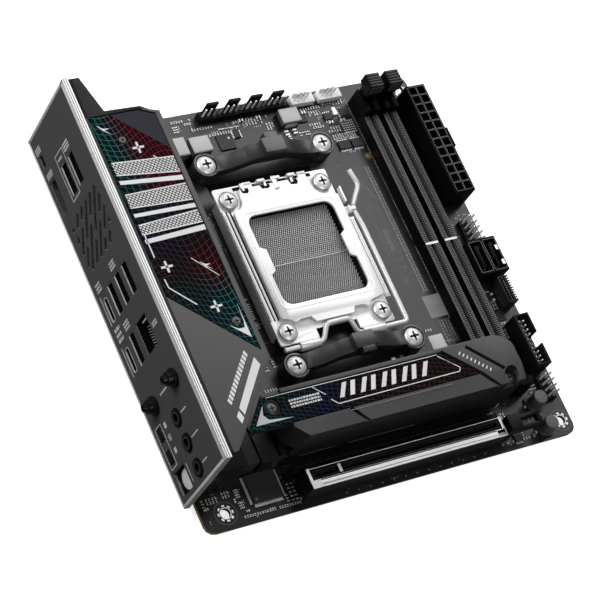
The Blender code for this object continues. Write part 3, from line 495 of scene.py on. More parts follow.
class Piece:
    """Solids in board millimetres, gathered into one named mesh with several materials."""

    def __init__(self, name, slot, *paints):
        self.name = name
        self.slot = slot
        self.paints = paints
        self.bm = bmesh.new()

    def loft(self, rings, paint=0, wrap=False):
        """A closed solid through rings of points, each with the same count."""
        rows = [[self.bm.verts.new(spot(*point)) for point in ring] for ring in rings]
        faces = [] if wrap else [rows[0], rows[-1]]
        following = rows[1:] + rows[:1] if wrap else rows[1:]
        for low, high in zip(rows, following):
            count = len(low)
            for i in range(count):
                j = (i + 1) % count
                faces.append((low[i], low[j], high[j], high[i]))
        for corners in faces:
            self.bm.faces.new(corners).material_index = paint

    def box(self, x, y, z, paint=0, edge=0.0):
        """A block over three ranges; edge chamfers its top rim."""

        def ring(inset, height):
            """The block's outline at a height, shrunk by inset."""
            left, right, near, far = x[0] + inset, x[1] - inset, y[0] + inset, y[1] - inset
            return [(left, near, height), (right, near, height), (right, far, height), (left, far, height)]

        rings = [ring(0, z[0]), ring(0, z[1] - edge)]
        if edge:
            rings.append(ring(edge, z[1]))
        self.loft(rings, paint)

    def post(self, x, y, half_x, half_y, z, paint=0, edge=0.0):
        """A block centred on x and y."""
        self.box((x - half_x, x + half_x), (y - half_y, y + half_y), z, paint, edge)

    def plate(self, outline, low, high=None, axis="z", paint=0):
        """A flat shape between two levels across an axis, as thin as print unless it is given the second."""
        turn = PLANES[axis]
        high = low + PRINT if high is None else high
        self.loft([[turn(u, v, w) for u, v in outline] for w in (low, high)], paint)

    def stroke(self, start, end, width, low, high=None, axis="z", paint=0):
        """A straight bar between two places, on the same levels as a plate."""
        du, dv = end[0] - start[0], end[1] - start[1]
        size = math.hypot(du, dv)
        nu, nv = -dv / size * width / 2, du / size * width / 2
        outline = [(start[0] + nu, start[1] + nv), (end[0] + nu, end[1] + nv),
                   (end[0] - nu, end[1] - nv), (start[0] - nu, start[1] - nv)]
        self.plate(outline, low, high, axis, paint)

    def turned(self, base, profile, axis=(0, 0, 1), sides=16, paint=0, wrap=False):
        """A solid of revolution through (radius, height) pairs along an axis from base."""
        turn = Vector(axis).to_track_quat("Z", "Y").to_matrix()
        rings = []
        for radius, height in profile:
            ring = []
            for i in range(sides):
                angle = 2 * math.pi * i / sides
                offset = Vector((radius * math.cos(angle), radius * math.sin(angle), height))
                ring.append(Vector(base) + turn @ offset)
            rings.append(ring)
        self.loft(rings, paint, wrap)

    def disc(self, base, radius, height, sides=16, paint=0, axis=(0, 0, 1)):
        """A round disc or rod standing on base."""
        self.turned(base, [(radius, 0), (radius, height)], axis, sides, paint)

    def hoop(self, base, inner, outer, height, axis=(0, 0, 1), sides=24, paint=0):
        """A flat ring standing height above base along an axis."""
        section = [(inner, 0), (outer, 0), (outer, height), (inner, height)]
        self.turned(base, section, axis, sides, paint, wrap=True)

    def tube(self, outline, inner, low, high, axis="z", paint=0):
        """A wall between two outlines with the same count, from low to high."""
        turn = PLANES[axis]
        section = ((outline, low), (outline, high), (inner, high), (inner, low))
        self.loft([[turn(u, v, w) for u, v in line] for line, w in section], paint, wrap=True)

    def rim(self, u, v, wall, radii, low, high, axis="z", paint=0, sides=5):
        """A rounded rectangular wall just inside two ranges, with an outer and an inner radius."""
        inner = oblong((u[0] + wall, u[1] - wall), (v[0] + wall, v[1] - wall), radii[1], sides)
        self.tube(oblong(u, v, radii[0], sides), inner, low, high, axis, paint)

    def finish(self, body="board", bevel=0.0, smooth=False):
        """Turns the gathered solids into an object that rides on a body."""
        bmesh.ops.recalc_face_normals(self.bm, faces=self.bm.faces)
        mesh = bpy.data.meshes.new(self.name)
        self.bm.to_mesh(mesh)
        self.bm.free()
        obj = bpy.data.objects.new(self.name, mesh)
        for paint in self.paints:
            mesh.materials.append(paint)
        bpy.context.scene.collection.objects.link(obj)
        if bevel or smooth:
            finish_edges(obj, bevel)
        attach(obj, body)


def oblong(u, v, radius, sides=5):
    """A rounded rectangle's outline over two ranges."""
    points = []
    corners = ((u[1], v[1], 1, 1), (u[0], v[1], -1, 1), (u[0], v[0], -1, -1), (u[1], v[0], 1, -1))
    for number, (cu, cv, su, sv) in enumerate(corners):
        for angle in steps(number * 90, number * 90 + 90, sides):
            turn = math.radians(angle)
            points.append((cu + (math.cos(turn) - su) * radius, cv + (math.sin(turn) - sv) * radius))
    return points


def fine_print(piece, u, v, rows, level, axis="z", upright=False, paint=0):
    """Rows of short strokes of uneven length, where a real board is lettered."""
    run, across = (v, u) if upright else (u, v)
    pitch = (across[1] - across[0]) / rows
    for row in range(rows):
        low = across[0] + (row + 0.2) * pitch
        high = low + 0.6 * pitch
        at = run[0]
        while at < run[1]:
            end = min(at + dice.uniform(0.35, 1.0) * pitch, run[1])
            corners = [(at, low), (end, low), (end, high), (at, high)]
            if upright:
                corners = [(b, a) for a, b in corners]
            piece.plate(corners, level, axis=axis, paint=paint)
            at = end + 0.25 * pitch


def small_part(piece, x, y, long, wide, tall, upright, paint=1):
    """A chip resistor or capacitor: a body between two tinned caps, centred on x and y."""
    cap = long * 0.3
    for low, high, grow, colour in ((-long / 2, -long / 2 + cap, 0, 0), (long / 2 - cap, long / 2, 0, 0),
                                    (-long / 2 + cap, long / 2 - cap, 0.08, paint)):
        run, across = (low, high), (-wide / 2 + grow, wide / 2 - grow)
        if upright:
            run, across = across, run
        piece.box((x + run[0], x + run[1]), (y + across[0], y + across[1]), (0.02, tall - grow), colour)


def chip(piece, x, y, z, leads, pitch=0.8, reach=0.9, metal=0, body=1):
    """A chip package over three ranges, with a row of leads on each named side."""
    piece.box(x, y, z, body, edge=min(0.15, (z[1] - z[0]) / 4))
    for side in leads:
        along, across = (x, y) if side in "sn" else (y, x)
        edge = across[1] if side in "ne" else across[0]
        out = reach if side in "ne" else -reach
        count = int((along[1] - along[0] - 0.6) / pitch) + 1
        for at in steps(along[0] + 0.5, along[1] - 0.5, count):
            span = (at - pitch * 0.24, at + pitch * 0.24)
            way = sorted((edge, edge + out))
            ranges = (span, way) if side in "sn" else (way, span)
            piece.box(*ranges, (0.02, 0.25), metal)


# ---------------------------------------------------------------- board surface

# Rows of small parts: first centre, number and spacing along X. A longer row of numbers is a block: it goes
# on with the number and spacing along Y, and whether its parts stand along Y, as they do in a single row.
PART_ROWS = (
    (57, 167, 8, 1.15), (62.4, 165.3, 3, 1.1), (56.8, 162.6, 2, 1.3, 3, 1.1, False), (64.4, 162.2, 8, 1.25),
    (71, 158.6, 9, 1.25), (83.6, 162.3, 3, 1.1), (89, 160.4, 6, 1.4, 2, 1.3, True), (89.6, 162.6, 3, 1.2),
    (97.6, 162.4, 3, 1.3), (76, 160.4, 8, 1.2, 1, 0, False), (115.6, 162.4, 8, 1.25),
    (118.6, 159.2, 4, 1.2, 2, 1.3, True), (116.6, 153.4, 6, 1.15, 2, 1.5, True),
    (124.6, 146.7, 10, 1.15, 2, 1.3, True), (126.4, 163.2, 4, 1.3), (131.6, 162.6, 4, 1.3, 2, 1.3, True),
    (110.6, 151, 4, 1.3, 2, 1.3, False), (124, 150.4, 5, 1.3, 2, 1.4, True),
    (97.6, 156.6, 3, 1.3, 3, 1.2, True), (47.5, 145.5, 4, 1.2, 2, 1.3, True),
    (50.8, 160.4, 2, 1.3, 5, 1.5, False), (60.5, 151, 6, 1.3), (54.6, 110.8, 1, 0, 13, 1.05, False),
    (54.9, 73.8, 1, 0, 13, 1.05, False), (49.6, 92, 2, 1.5, 9, 1.9, False),
    (49.6, 120, 2, 1.5, 7, 1.9, False), (49.6, 66, 2, 1.5, 6, 1.9, False),
    (46.2, 46.6, 6, 1.2, 2, 1.4, True), (48.4, 56, 3, 1.3, 4, 1.4, False), (54.4, 57, 1, 0, 4, 1.1, False),
    (58.6, 47.2, 9, 1.3), (72.6, 45, 8, 1.3, 2, 1.3, True), (88.6, 47, 9, 1.3),
    (112, 44.2, 8, 1.3, 2, 1.4, True), (124.6, 56.4, 5, 1.2), (158.2, 45.4, 3, 1.4, 7, 1.6, True),
    (158.4, 58.6, 3, 1.3, 3, 1.5, True), (158, 66.4, 3, 1.3, 1, 0, False),
    (157.6, 20.4, 3, 1.4, 3, 1.4, False), (16.9, 6.6, 2, 0.95, 3, 1, False),
    (16.9, 11, 2, 0.95, 4, 0.95, False), (16.9, 2.9, 23, 1.08), (2.6, 9.4, 1, 0, 4, 1.2, False),
    (4.6, 11.6, 4, 1.3, 2, 1.4, True), (11.6, 12.4, 3, 1.2, 2, 1.5, True),
    (38.4, 4.4, 2, 1.9, 6, 1.6, False), (36.2, 4.4, 1, 0, 3, 1.2, False), (134.4, 2.9, 13, 1.3),
    (133, 13.6, 3, 1.3, 3, 1.4, False), (138.2, 13.4, 3, 1.3, 2, 1.3, True),
    (133, 44.6, 4, 1.3, 3, 1.3, False), (156.4, 99, 2, 1.3, 3, 1.4, True),
    (156.2, 88.8, 2, 1.3, 4, 1.4, False),
)
MISSING_SHARE = 0.08
# Single larger parts: centre, length, width, height and whether each stands along Y.
LONE_PARTS = (
    (87, 162.6, 1.9, 1.2, 0.9, False), (95, 162.6, 1.9, 1.2, 0.9, False), (104.5, 153.1, 2.1, 1.7, 1, True),
    (108.4, 153.2, 2.1, 1.7, 1, True), (105, 150.8, 1.6, 1.2, 0.9, True),
    (126.5, 154.4, 1.8, 1.1, 0.8, False), (132.2, 154.5, 1.8, 1.1, 0.8, False),
    (116, 161, 1.8, 1.2, 0.9, False), (162.2, 62.4, 3, 0.9, 0.8, False), (162.4, 65, 3, 0.9, 0.8, False),
    (106.6, 48, 5.6, 1.5, 1.2, False), (42.2, 11, 1.2, 0.8, 0.6, True), (42, 4, 1.2, 0.9, 0.6, False),
    (43.4, 14.3, 1.2, 0.7, 0.6, False), (45.8, 5.7, 1.1, 0.7, 0.5, True), (15.5, 10, 1.2, 0.7, 0.6, True),
    (18.9, 4.9, 1.2, 0.7, 0.6, False), (3.4, 9.6, 1.3, 1, 0.6, False),
)
# Areas with loose bare pads: X and Y limits and the number of lines of pads.
VIA_FIELDS = (
    (45, 66, 157, 166, 7), (66, 100, 158, 163, 9), (112, 138, 156, 163.6, 10), (120, 137, 138, 156, 12),
    (46, 57, 60, 130, 22), (124, 137, 46, 60, 6), (2, 20, 2, 20, 8), (20, 42, 1, 5, 4), (30, 44, 14, 30, 9),
    (132, 160, 2, 20, 12), (156, 168, 20, 104, 24), (60, 124, 2, 4, 4), (44, 60, 134, 158, 8),
)
PAD_GRID = 0.9
# Chip packages: X, Y and Z ranges, then the sides that carry leads.
CHIPS = (
    ((81.4, 83.8), (155.2, 159), (0.1, 1), "we"), ((73, 80), (150.8, 157.8), (0.05, 0.8), ""),
    ((125, 130.2), (141.2, 145), (0.1, 1.2), "ns"), ((131.4, 136.4), (141.2, 145), (0.1, 1.2), "ns"),
    ((124.4, 128.2), (155.6, 158.8), (0.1, 1.1), "ns"), ((132.4, 136.6), (156, 159.6), (0.1, 1.3), "we"),
    ((113.2, 116.4), (156.6, 160.2), (0.05, 0.8), ""), ((49.6, 53.6), (101, 107), (0.05, 0.8), ""),
    ((60.4, 66.4), (41.6, 45.6), (0.1, 1.2), "ns"), ((97.6, 102.6), (43, 47.6), (0.05, 0.8), ""),
    ((158.4, 162.6), (52.6, 56.8), (0.05, 0.8), ""), ((140.4, 144), (2.4, 5.4), (0.1, 1.1), "ns"),
)


def board_parts():
    """Chip resistors, capacitors and packages soldered over the board."""
    piece = Piece("board_parts", "board", TIN, CHIP, CERAMIC)
    for x, y, columns, dx, *block in PART_ROWS:
        rows, dy, upright = block or (1, 0, True)
        for px, py in grid(x, y, columns, rows, dx, dy):
            if dice.random() < MISSING_SHARE:
                continue
            small_part(piece, px, py, dice.choice((0.8, 0.9)), 0.5, dice.uniform(0.3, 0.5), upright,
                       dice.choice((1, 1, 2)))
    for x, y, long, wide, tall, upright in LONE_PARTS:
        small_part(piece, x, y, long, wide, tall, upright)
    for x, y, z, leads in CHIPS:
        chip(piece, x, y, z, leads)
    for x, y in grid(131.4, 148.8, 6, 6, 1.0, 1.04):
        piece.disc((x, y, 0), 0.3, 0.06, 8)
    piece.finish()


def test_points():
    """Loose lines of bare round pads between the parts."""
    piece = Piece("test_points", "board", TIN)
    for x0, x1, y0, y1, lines in VIA_FIELDS:
        for _ in range(lines):
            x = x0 + PAD_GRID * int(dice.uniform(0, x1 - x0) / PAD_GRID)
            y = y0 + PAD_GRID * int(dice.uniform(0, y1 - y0) / PAD_GRID)
            dx, dy = dice.choice(((PAD_GRID, 0), (0, PAD_GRID)))
            for place in range(dice.randint(2, 6)):
                px, py = x + place * dx, y + place * dy
                if px < x1 and py < y1:
                    piece.disc((px, py, 0), 0.16, 0.04, 6)
    piece.finish()


def bright_crystal(name, x, y, high):
    """A small metal-lidded part with a rounded lid."""
    piece = Piece(name, "steel", TIN)
    piece.plate(oblong(x, y, 0.3), 0.05, high - 0.2)
    inner = oblong((x[0] + 0.15, x[1] - 0.15), (y[0] + 0.15, y[1] - 0.15), 0.25)
    piece.plate(inner, high - 0.2, high)
    piece.finish()


def quad_chip():
    """The sound chip, with fine leads on three sides and a round mark."""
    piece = Piece("sound_chip", "board", CHIP, TIN, FAINT_INK)
    chip(piece, (22.2, 35), (6.6, 18), (0.15, 1.5), "sew", 0.5, 1.2, metal=1, body=0)
    piece.disc((23.6, 8, 1.5), 0.5, 0.02, paint=2)
    piece.finish()


def chokes():
    """Moulded coil blocks on dark feet, with a tinned tab on two sides."""
    piece = Piece("chokes", "board", CHOKE, TIN, CHIP)
    for x, y, top in (((46.5, 55), (148.5, 156.5), 7.8), ((57, 65.5), (148.5, 155.5), 7.8),
                      ((103.1, 111.7), (155.9, 162.5), 4.4)):
        piece.box(x, y, (0.5, top - 0.8), 2)
        piece.box(x, y, (top - 0.8, top), edge=0.25)
        for side in (y[0] - 0.25, y[1] - 0.6):
            piece.box((x[0] + 1.6, x[1] - 1.6), (side, side + 0.85), (0.02, 2.4), 1)
    piece.finish(bevel=0.12)


def round_capacitors():
    """Two surface-mounted capacitors: grooved cans in moulded bases, with a tab on each side."""
    piece = Piece("round_capacitors", "dark_metal", CAN, DARK_COATING, TIN)
    for x, y in ((155.7, 15.4), (155.3, 4.3)):
        piece.plate(oblong((x - 3.3, x + 3.3), (y - 3.3, y + 3.3), 0.7), 0.1, 1, paint=1)
        can = [(3, 1), (3, 1.6), (2.85, 1.9), (3, 2.2), (3, 7.6), (2.75, 7.95), (2.3, 8)]
        piece.turned((x, y, 0), can, sides=40)
        for side in (-3.6, 3.6):
            piece.post(x + side, y, 0.3, 0.5, (0.02, 0.3), 2)
    piece.finish(smooth=True)


def mounting_pads():
    """Bare ring of short tinned pads round each mounting hole, with a printed keep-out ring."""
    piece = Piece("mounting_pads", "board", TIN, FAINT_INK)
    for x, y in ((10.16, 6.35), (165.1, 6.35), (33.02, 163.83), (165.1, 163.83)):
        piece.hoop((x, y, 0), 2.02, 2.35, 0.05, sides=32)
        for angle in steps(0, math.pi * 7 / 4, 8):
            out = Vector((math.cos(angle), math.sin(angle)))
            middle = Vector((x, y)) + out * 2.95
            piece.stroke(middle - out * 0.35, middle + out * 0.35, 1.2, 0, 0.05)
        piece.hoop((x, y, 0), 4.4, 4.55, PRINT, sides=48, paint=1)
    piece.finish()


def board_print():
    """Printed lines, dots and plain marks on the board, with nothing lettered."""
    piece = Piece("board_print", "board", FAINT_INK, INK, PALE_LABEL, LABEL, GOLD)
    for y in steps(60, 164, 100):
        if not 93 < y < 96:
            piece.disc((138, y, 0), 0.2, PRINT, 6, 1)
    for x in steps(61, 125.4, 13):
        piece.plate([(x - 0.5, 1.7), (x + 0.5, 1.7), (x, 0.8)], 0)
    for start, end in ((73, 102.8), (107.2, 125.2)):
        piece.stroke((start, 3.25), (end, 3.25), 0.3, 0, paint=1)
    piece.rim((125, 129.8), (88.6, 114.2), 0.15, (0.2, 0.2), 0, PRINT, sides=2)
    piece.stroke((124.4, 88), (124.4, 115.4), 0.12, 0)
    for x, y, size in ((126.7, 79.2, 1.5), (129.2, 85.2, 0.8)):
        piece.stroke((x - size, y), (x + size, y), 0.3, 0)
        piece.stroke((x, y - size), (x, y + size), 0.3, 0)
    for number in range(9):
        x, y = 124.6 + number * 0.75, 131 - number * 1.7
        piece.stroke((x - 1.6, y + 1.1), (x + 1.4, y - 1.3), 0.26, 0)
    fine_print(piece, (131.8, 134.4), (73, 132), 2, 0, upright=True, paint=2)
    fine_print(piece, (126.4, 128.6), (93, 103), 2, 0, upright=True)
    fine_print(piece, (132, 137.6), (49.6, 59.6), 4, 0, upright=True)
    piece.plate(oblong((129.9, 138.2), (61, 70.9), 0.2, 2), 0, 0.08, paint=2)
    for y in steps(62.6, 66, 4):
        piece.stroke((131.2, y), (136.8, y), 0.3, 0.08)
    piece.plate(oblong((124.5, 131), (47.9, 54), 0.2, 2), 0, 0.1, paint=3)
    piece.disc((136.4, 136.5, 0), 1.15, 0.05, 24, 4)
    piece.hoop((136.4, 136.5, 0), 1.5, 1.62, PRINT)
    piece.disc((78.2, 155.8, 0.8), 0.5, 0.05, paint=1)
    for x, y in ((9.2, 16), (150, 3.2), (118.6, 134), (39, 137), (112.2, 60.6)):
        fine_print(piece, (x, x + 3.4), (y, y + 0.9), 1, 0)
    piece.finish()


def pin_header(name, columns, rows, high):
    """Straight square pins through a moulded base, at given X columns and Y rows."""
    piece = Piece(name, "black_plastic", BLACK_PLASTIC, TIN)
    for x in columns:
        for y in rows:
            piece.post(x, y, 1.25, 1.25, (0.05, 2.5), edge=0.35)
            piece.post(x, y, 0.3, 0.3, (2.5, high), 1, edge=0.2)
    piece.finish()


# ---------------------------------------------------------------- processor socket

FIELD_X = (65.6, 104.6)
FIELD_Y = (76.9, 117.1)
FIELD_SPLIT = 95.5
FIELD_LOW = 3.92
CONTACT_SPACING = (0.94, 0.82)
FRAME_TOP = 6.6
RAIL_TOP = 6.5
PLATE_TOP = 8.2


def contact_field():
    """Sprung contacts in staggered rows, leaning further on the near side of a thin rib."""
    piece = Piece("socket_contacts", "black_plastic", SPRING)
    y, row = FIELD_Y[0] + 0.4, 0
    while y < FIELD_Y[1] - 0.3:
        aside, lean, thick = (0.072, 0.3, 0.24) if y > FIELD_SPLIT else (0.24, 0.36, 0.18)
        x = FIELD_X[0] + 0.3 + (row % 2) * CONTACT_SPACING[0] / 2
        while x < FIELD_X[1] - 0.5 and abs(y - FIELD_SPLIT) > 0.55:
            foot = [(x - thick, y - 0.2), (x + thick, y - 0.2), (x + thick, y + 0.1), (x - thick, y + 0.1)]
            piece.loft([[(px, py, FIELD_LOW) for px, py in foot],
                        [(px + aside, py + lean, FIELD_LOW + 0.75) for px, py in foot]])
            x += CONTACT_SPACING[0]
        y += CONTACT_SPACING[1]
        row += 1
    piece.box(FIELD_X, (FIELD_SPLIT - 0.16, FIELD_SPLIT + 0.16), (FIELD_LOW, FIELD_LOW + 0.9))
    piece.finish()


def ridge(piece, x, half, top_half, low, high, ends):
    """A pressed ridge along Y with sloping sides."""
    piece.plate([(x - half, low), (x + half, low), (x + top_half, high), (x - top_half, high)], *ends, "y")


def socket_details():
    """Pressed ribs and tabs of the socket frame, plate and lever, with painted shade in their grooves, gaps
    and notches and on the board behind the hinge.
    """
    piece = Piece("socket_pressings_and_shade", "steel", STEEL, SHADOW)
    for x in (58.2, 59.9):
        ridge(piece, x, 0.45, 0.2, FRAME_TOP, 6.85, (73, 120))
    for x in (110.9, 111.9):
        ridge(piece, x, 0.3, 0.15, RAIL_TOP, 6.8, (73, 107.5))
    # painted shade lines along the frame and rail grooves
    for x, width in ((57.1, 0.4), (58.75, 0.6), (60.4, 0.7)):
        piece.box((x, x + width), (72.4, 121.6), (FRAME_TOP, FRAME_TOP + 0.04), 1)
    for x, width in ((109.45, 0.5), (112.4, 0.35)):
        piece.box((x, x + width), (72.4, 108), (RAIL_TOP, RAIL_TOP + 0.04), 1)
    # painted shade in the gap below the hinge
    piece.box((66, 102), (129.5, 131), (FRAME_TOP, FRAME_TOP + 0.03), 1)
    # painted shadow on the board behind the hinge
    piece.box((60, 108), (131.2, 137.4), (0, 0.04), 1)
    piece.box((110.6, 111.3), (114.6, 121.6), (RAIL_TOP, 9.2), edge=0.2)
    piece.finish()
    lid = Piece("plate_pressings_and_shade", "steel", STEEL, SHADOW)
    for x in (72, 97.4):
        lid.disc((x - 1.6, 131, 7.7), 0.85, 3.2, 12, axis=(1, 0, 0))
    lid.rim((63.6, 106.9), (75.1, 118.9), 0.6, (3.2, 2.8), PLATE_TOP, PLATE_TOP + 0.14)
    # painted shade in the notches of the plate's top edge
    for left, right, low in ((68.2, 71.8, 126.8), (77.2, 81.6, 127.2), (90.4, 94.4, 126.6)):
        lid.plate([(left, 129.1), (left + 0.6, low + 0.3), (right - 0.8, low), (right, low + 0.8),
                   (right, 129.1)], PLATE_TOP, PLATE_TOP + 0.04, paint=1)
    for x, low in ((69.6, 128), (79.8, 128.3), (92, 127.8)):
        lid.box((x - 0.5, x + 0.5), (low, 130), (PLATE_TOP, PLATE_TOP + 0.3), edge=0.1)
    lid.box((83.3, 85.1), (126.2, 131.8), (PLATE_TOP, 9), edge=0.25)
    lid.finish("plate", smooth=True)
    collar = Piece("lever_collar", "steel", STEEL, SHADOW)
    collar.box((112.7, 115.4), (110.9, 113.3), (4.5, 7.2), edge=0.5)
    # painted shade lines along the collar's edges
    for y in (110.95, 113.1):
        collar.box((112.9, 115.2), (y, y + 0.14), (7.2, 7.23), 1)
    collar.finish("lever", bevel=0.15)


def screw_drive_shade():
    """Painted shade in the star-shaped drive of each socket and bracket screw, and a painted shade ring round
    its head.
    """
    piece = Piece("screw_drive_shade", "steel", SHADOW)
    sockets = [(x, y, 3.7, 8.9) for x in (61.7, 105) for y in (66.5, 125.5)]
    brackets = [(x, y, 4, 7.8) for x in (59.8, 113.8) for y in (52.9, 142.9)]
    for x, y, radius, top in sockets + brackets:
        outline = []
        for number in range(12):
            reach = radius * (0.56 if number % 3 == 0 else 0.2)
            angle = 2 * math.pi * number / 12
            outline.append((x + reach * math.cos(angle), y + reach * math.sin(angle)))
        # painted shade over the drive recess, and a painted shade ring round the head
        piece.plate(outline, top - 0.06, top)
        piece.hoop((x, y, top - 1.15), radius, radius * 1.06, 0.1, sides=32)
    piece.finish()


# ---------------------------------------------------------------- slots and connectors

MEMORY_SLOTS = (("a", 141.5), ("b", 150.8))
MEMORY_TOP = 6.5
SHIELD_TOP = 11.28
BOARD_POWER = grid(161.55, 109, 2, 12, 4.2, 4.2)
CPU_POWER = grid(11.9, 160.95, 4, 2, 4.2, 4.2)
FRONT_PINS = grid(162.8, 30.2, 2, 10, 2, 2)


def memory_contacts():
    """Contact combs on both sides of each memory slot's groove, and the pale key across it."""
    piece = Piece("memory_contacts", "black_plastic", COMB, WHITE_PLASTIC)
    top = MEMORY_TOP
    for _, centre in MEMORY_SLOTS:
        for near, far in ((24.6, 88.9), (91.1, 150.6)):
            for y in steps(near, far, int((far - near) / 0.85) + 1):
                for side in (-1, 1):
                    piece.post(centre + side * 1.45, y, 0.45, 0.14, (top, top + 0.05))
                    piece.post(centre + side * 2.75, y, 0.28, 0.14, (top, top + 0.05))
                    piece.post(centre + side * 0.8, y, 0.09, 0.17, (3, 6.2))
            for side in (-3.15, -2.3, 2.3, 3.15):
                piece.box((centre + side - 0.07, centre + side + 0.07), (near, far), (top, top + 0.06))
        piece.post(centre, 90, 3, 0.5, (top - 0.4, top + 0.12), 1, edge=0.06)
    piece.finish()


def latch_ribs():
    """Finger ribs across the face and top of each memory latch."""
    for name, centre in MEMORY_SLOTS:
        piece = Piece("latch_ribs_" + name, "black_plastic", SATIN_PLASTIC)
        ends = (centre - 2.9, centre + 2.9)
        for z in steps(15.6, 19.4, 5):
            rib = [(156.25, z - 0.25), (155.85, z - 0.1), (155.85, z + 0.1), (156.25, z + 0.25)]
            piece.plate(rib, *ends, "x")
        for y in steps(157.2, 162.2, 5):
            rib = [(y - 0.3, 19.95), (y + 0.3, 19.95), (y + 0.1, 20.25), (y - 0.1, 20.25)]
            piece.plate(rib, *ends, "x")
        piece.finish("latch_" + name)


def card_slot_details():
    """Contacts and key of the expansion slot, thin painted shade lines on its shield, and the dark ledge
    behind it.
    """
    piece = Piece("card_slot_contacts", "black_plastic", CONTACT, WHITE_PLASTIC)
    for near, far in ((45.4, 54.6), (57.6, 127.6)):
        for x in steps(near, far, int(far - near) + 1):
            for y in (7.25, 8.95):
                piece.post(x, y, 0.22, 0.12, (2.5, 9.6))
    piece.box((55.4, 56.7), (6.6, 9.9), (9.6, 11), 1, edge=0.1)
    piece.finish()
    shield = Piece("slot_shield_shade", "steel", BRIGHT, SHADOW)
    for x in ((42.2, 46), (127, 130.8)):
        shield.box(x, (2.9, 5.85), (SHIELD_TOP, SHIELD_TOP + 0.02))
    # painted shade lines where ridges along the shield would shade
    for y in ((3.7, 3.95), (5.3, 5.8)):
        shield.box((46.2, 126.8), y, (SHIELD_TOP, SHIELD_TOP + 0.02), 1)
    shield.finish()
    ledge = Piece("slot_ledge", "black_plastic", BLACK_PLASTIC, CONTACT)
    ledge.box((38, 133), (11.6, 14), (0.1, 8), edge=0.4)
    for x in steps(42, 131, 60):
        ledge.post(x, 13.45, 0.3, 0.15, (8, 8.03), 1)
    ledge.finish()


def power_pins():
    """Square pins standing in the cells of both power connectors, and painted highlights round the cells of
    the board's connector.
    """
    piece = Piece("power_pins", "steel", TIN, COMB)
    for x, y in BOARD_POWER + CPU_POWER:
        piece.post(x, y, 0.5, 0.5, (3.8, 9.5), edge=0.3)
    for x, y in BOARD_POWER:
        # painted highlight round each cell's top edge
        piece.rim((x - 1.95, x + 1.95), (y - 1.95, y + 1.95), 0.12, (0.2, 0.2), 12.8, 12.84, paint=1, sides=2)
    piece.finish()


def drive_ports():
    """Contact tongues and sprung latches of the two drive ports, with a painted highlight round each port's
    rim.
    """
    piece = Piece("drive_port_contacts", "black_plastic", TIN, COMB)
    for x in (158.6, 165.4):
        for y in steps(73.4, 83, 7):
            piece.post(x - 0.45, y, 0.1, 0.45, (3, 8.2))
        # painted highlight along the port's top edge
        piece.rim((x - 3, x + 3), (71.4, 85.4), 0.15, (0.8, 0.7), 9, 9.05, paint=1)
    for y in (74.2, 81):
        piece.post(167.65, y, 0.65, 1.1, (8.95, 9.2), edge=0.1)
    piece.finish()


def header_details():
    """Pins inside the shrouded front headers and the small fan and light headers."""
    piece = Piece("header_pins", "steel", TIN, CONTACT)
    for x, y in FRONT_PINS:
        piece.post(x, y, 0.28, 0.28, (2, 7.4), edge=0.15)
    for y in steps(58, 67.6, 10):
        piece.post(166.45, y, 0.55, 0.25, (8, 8.06))
        for x in (163.9, 165.2):
            piece.post(x, y, 0.2, 0.22, (7.6, 8.1), 1)
    fans = [(69.6 + 10.28 * number, 4, 8.4) for number in range(4)]
    for left, pins, high in fans + [(112.9, 3, 8.2), (126, 3, 8.2)]:
        for x in steps(left, left + 7.6, 4)[:pins]:
            piece.post(x, 165.9, 0.3, 0.3, (3.2, high), edge=0.2)
    piece.finish()


# ---------------------------------------------------------------- rear ports

FACE = -3.6
DEEP = 5.8
SHELL_GAP = 0.12


def shell(piece, y, z, radius, wall, front=FACE + 0.3, back=DEEP, paint=0):
    """A sheet-metal port shell just inside its opening."""
    outer = [(low + SHELL_GAP, high - SHELL_GAP) for low, high in (y, z)]
    piece.rim(*outer, wall, (radius, max(radius - wall, 0.05)), front, back, "x", paint)


def tongue_pads(piece, x, ends, count, half, z):
    """A row of contact pads along Y on a port's tongue."""
    for y in steps(*ends, count):
        piece.box(x, (y - half, y + half), z)


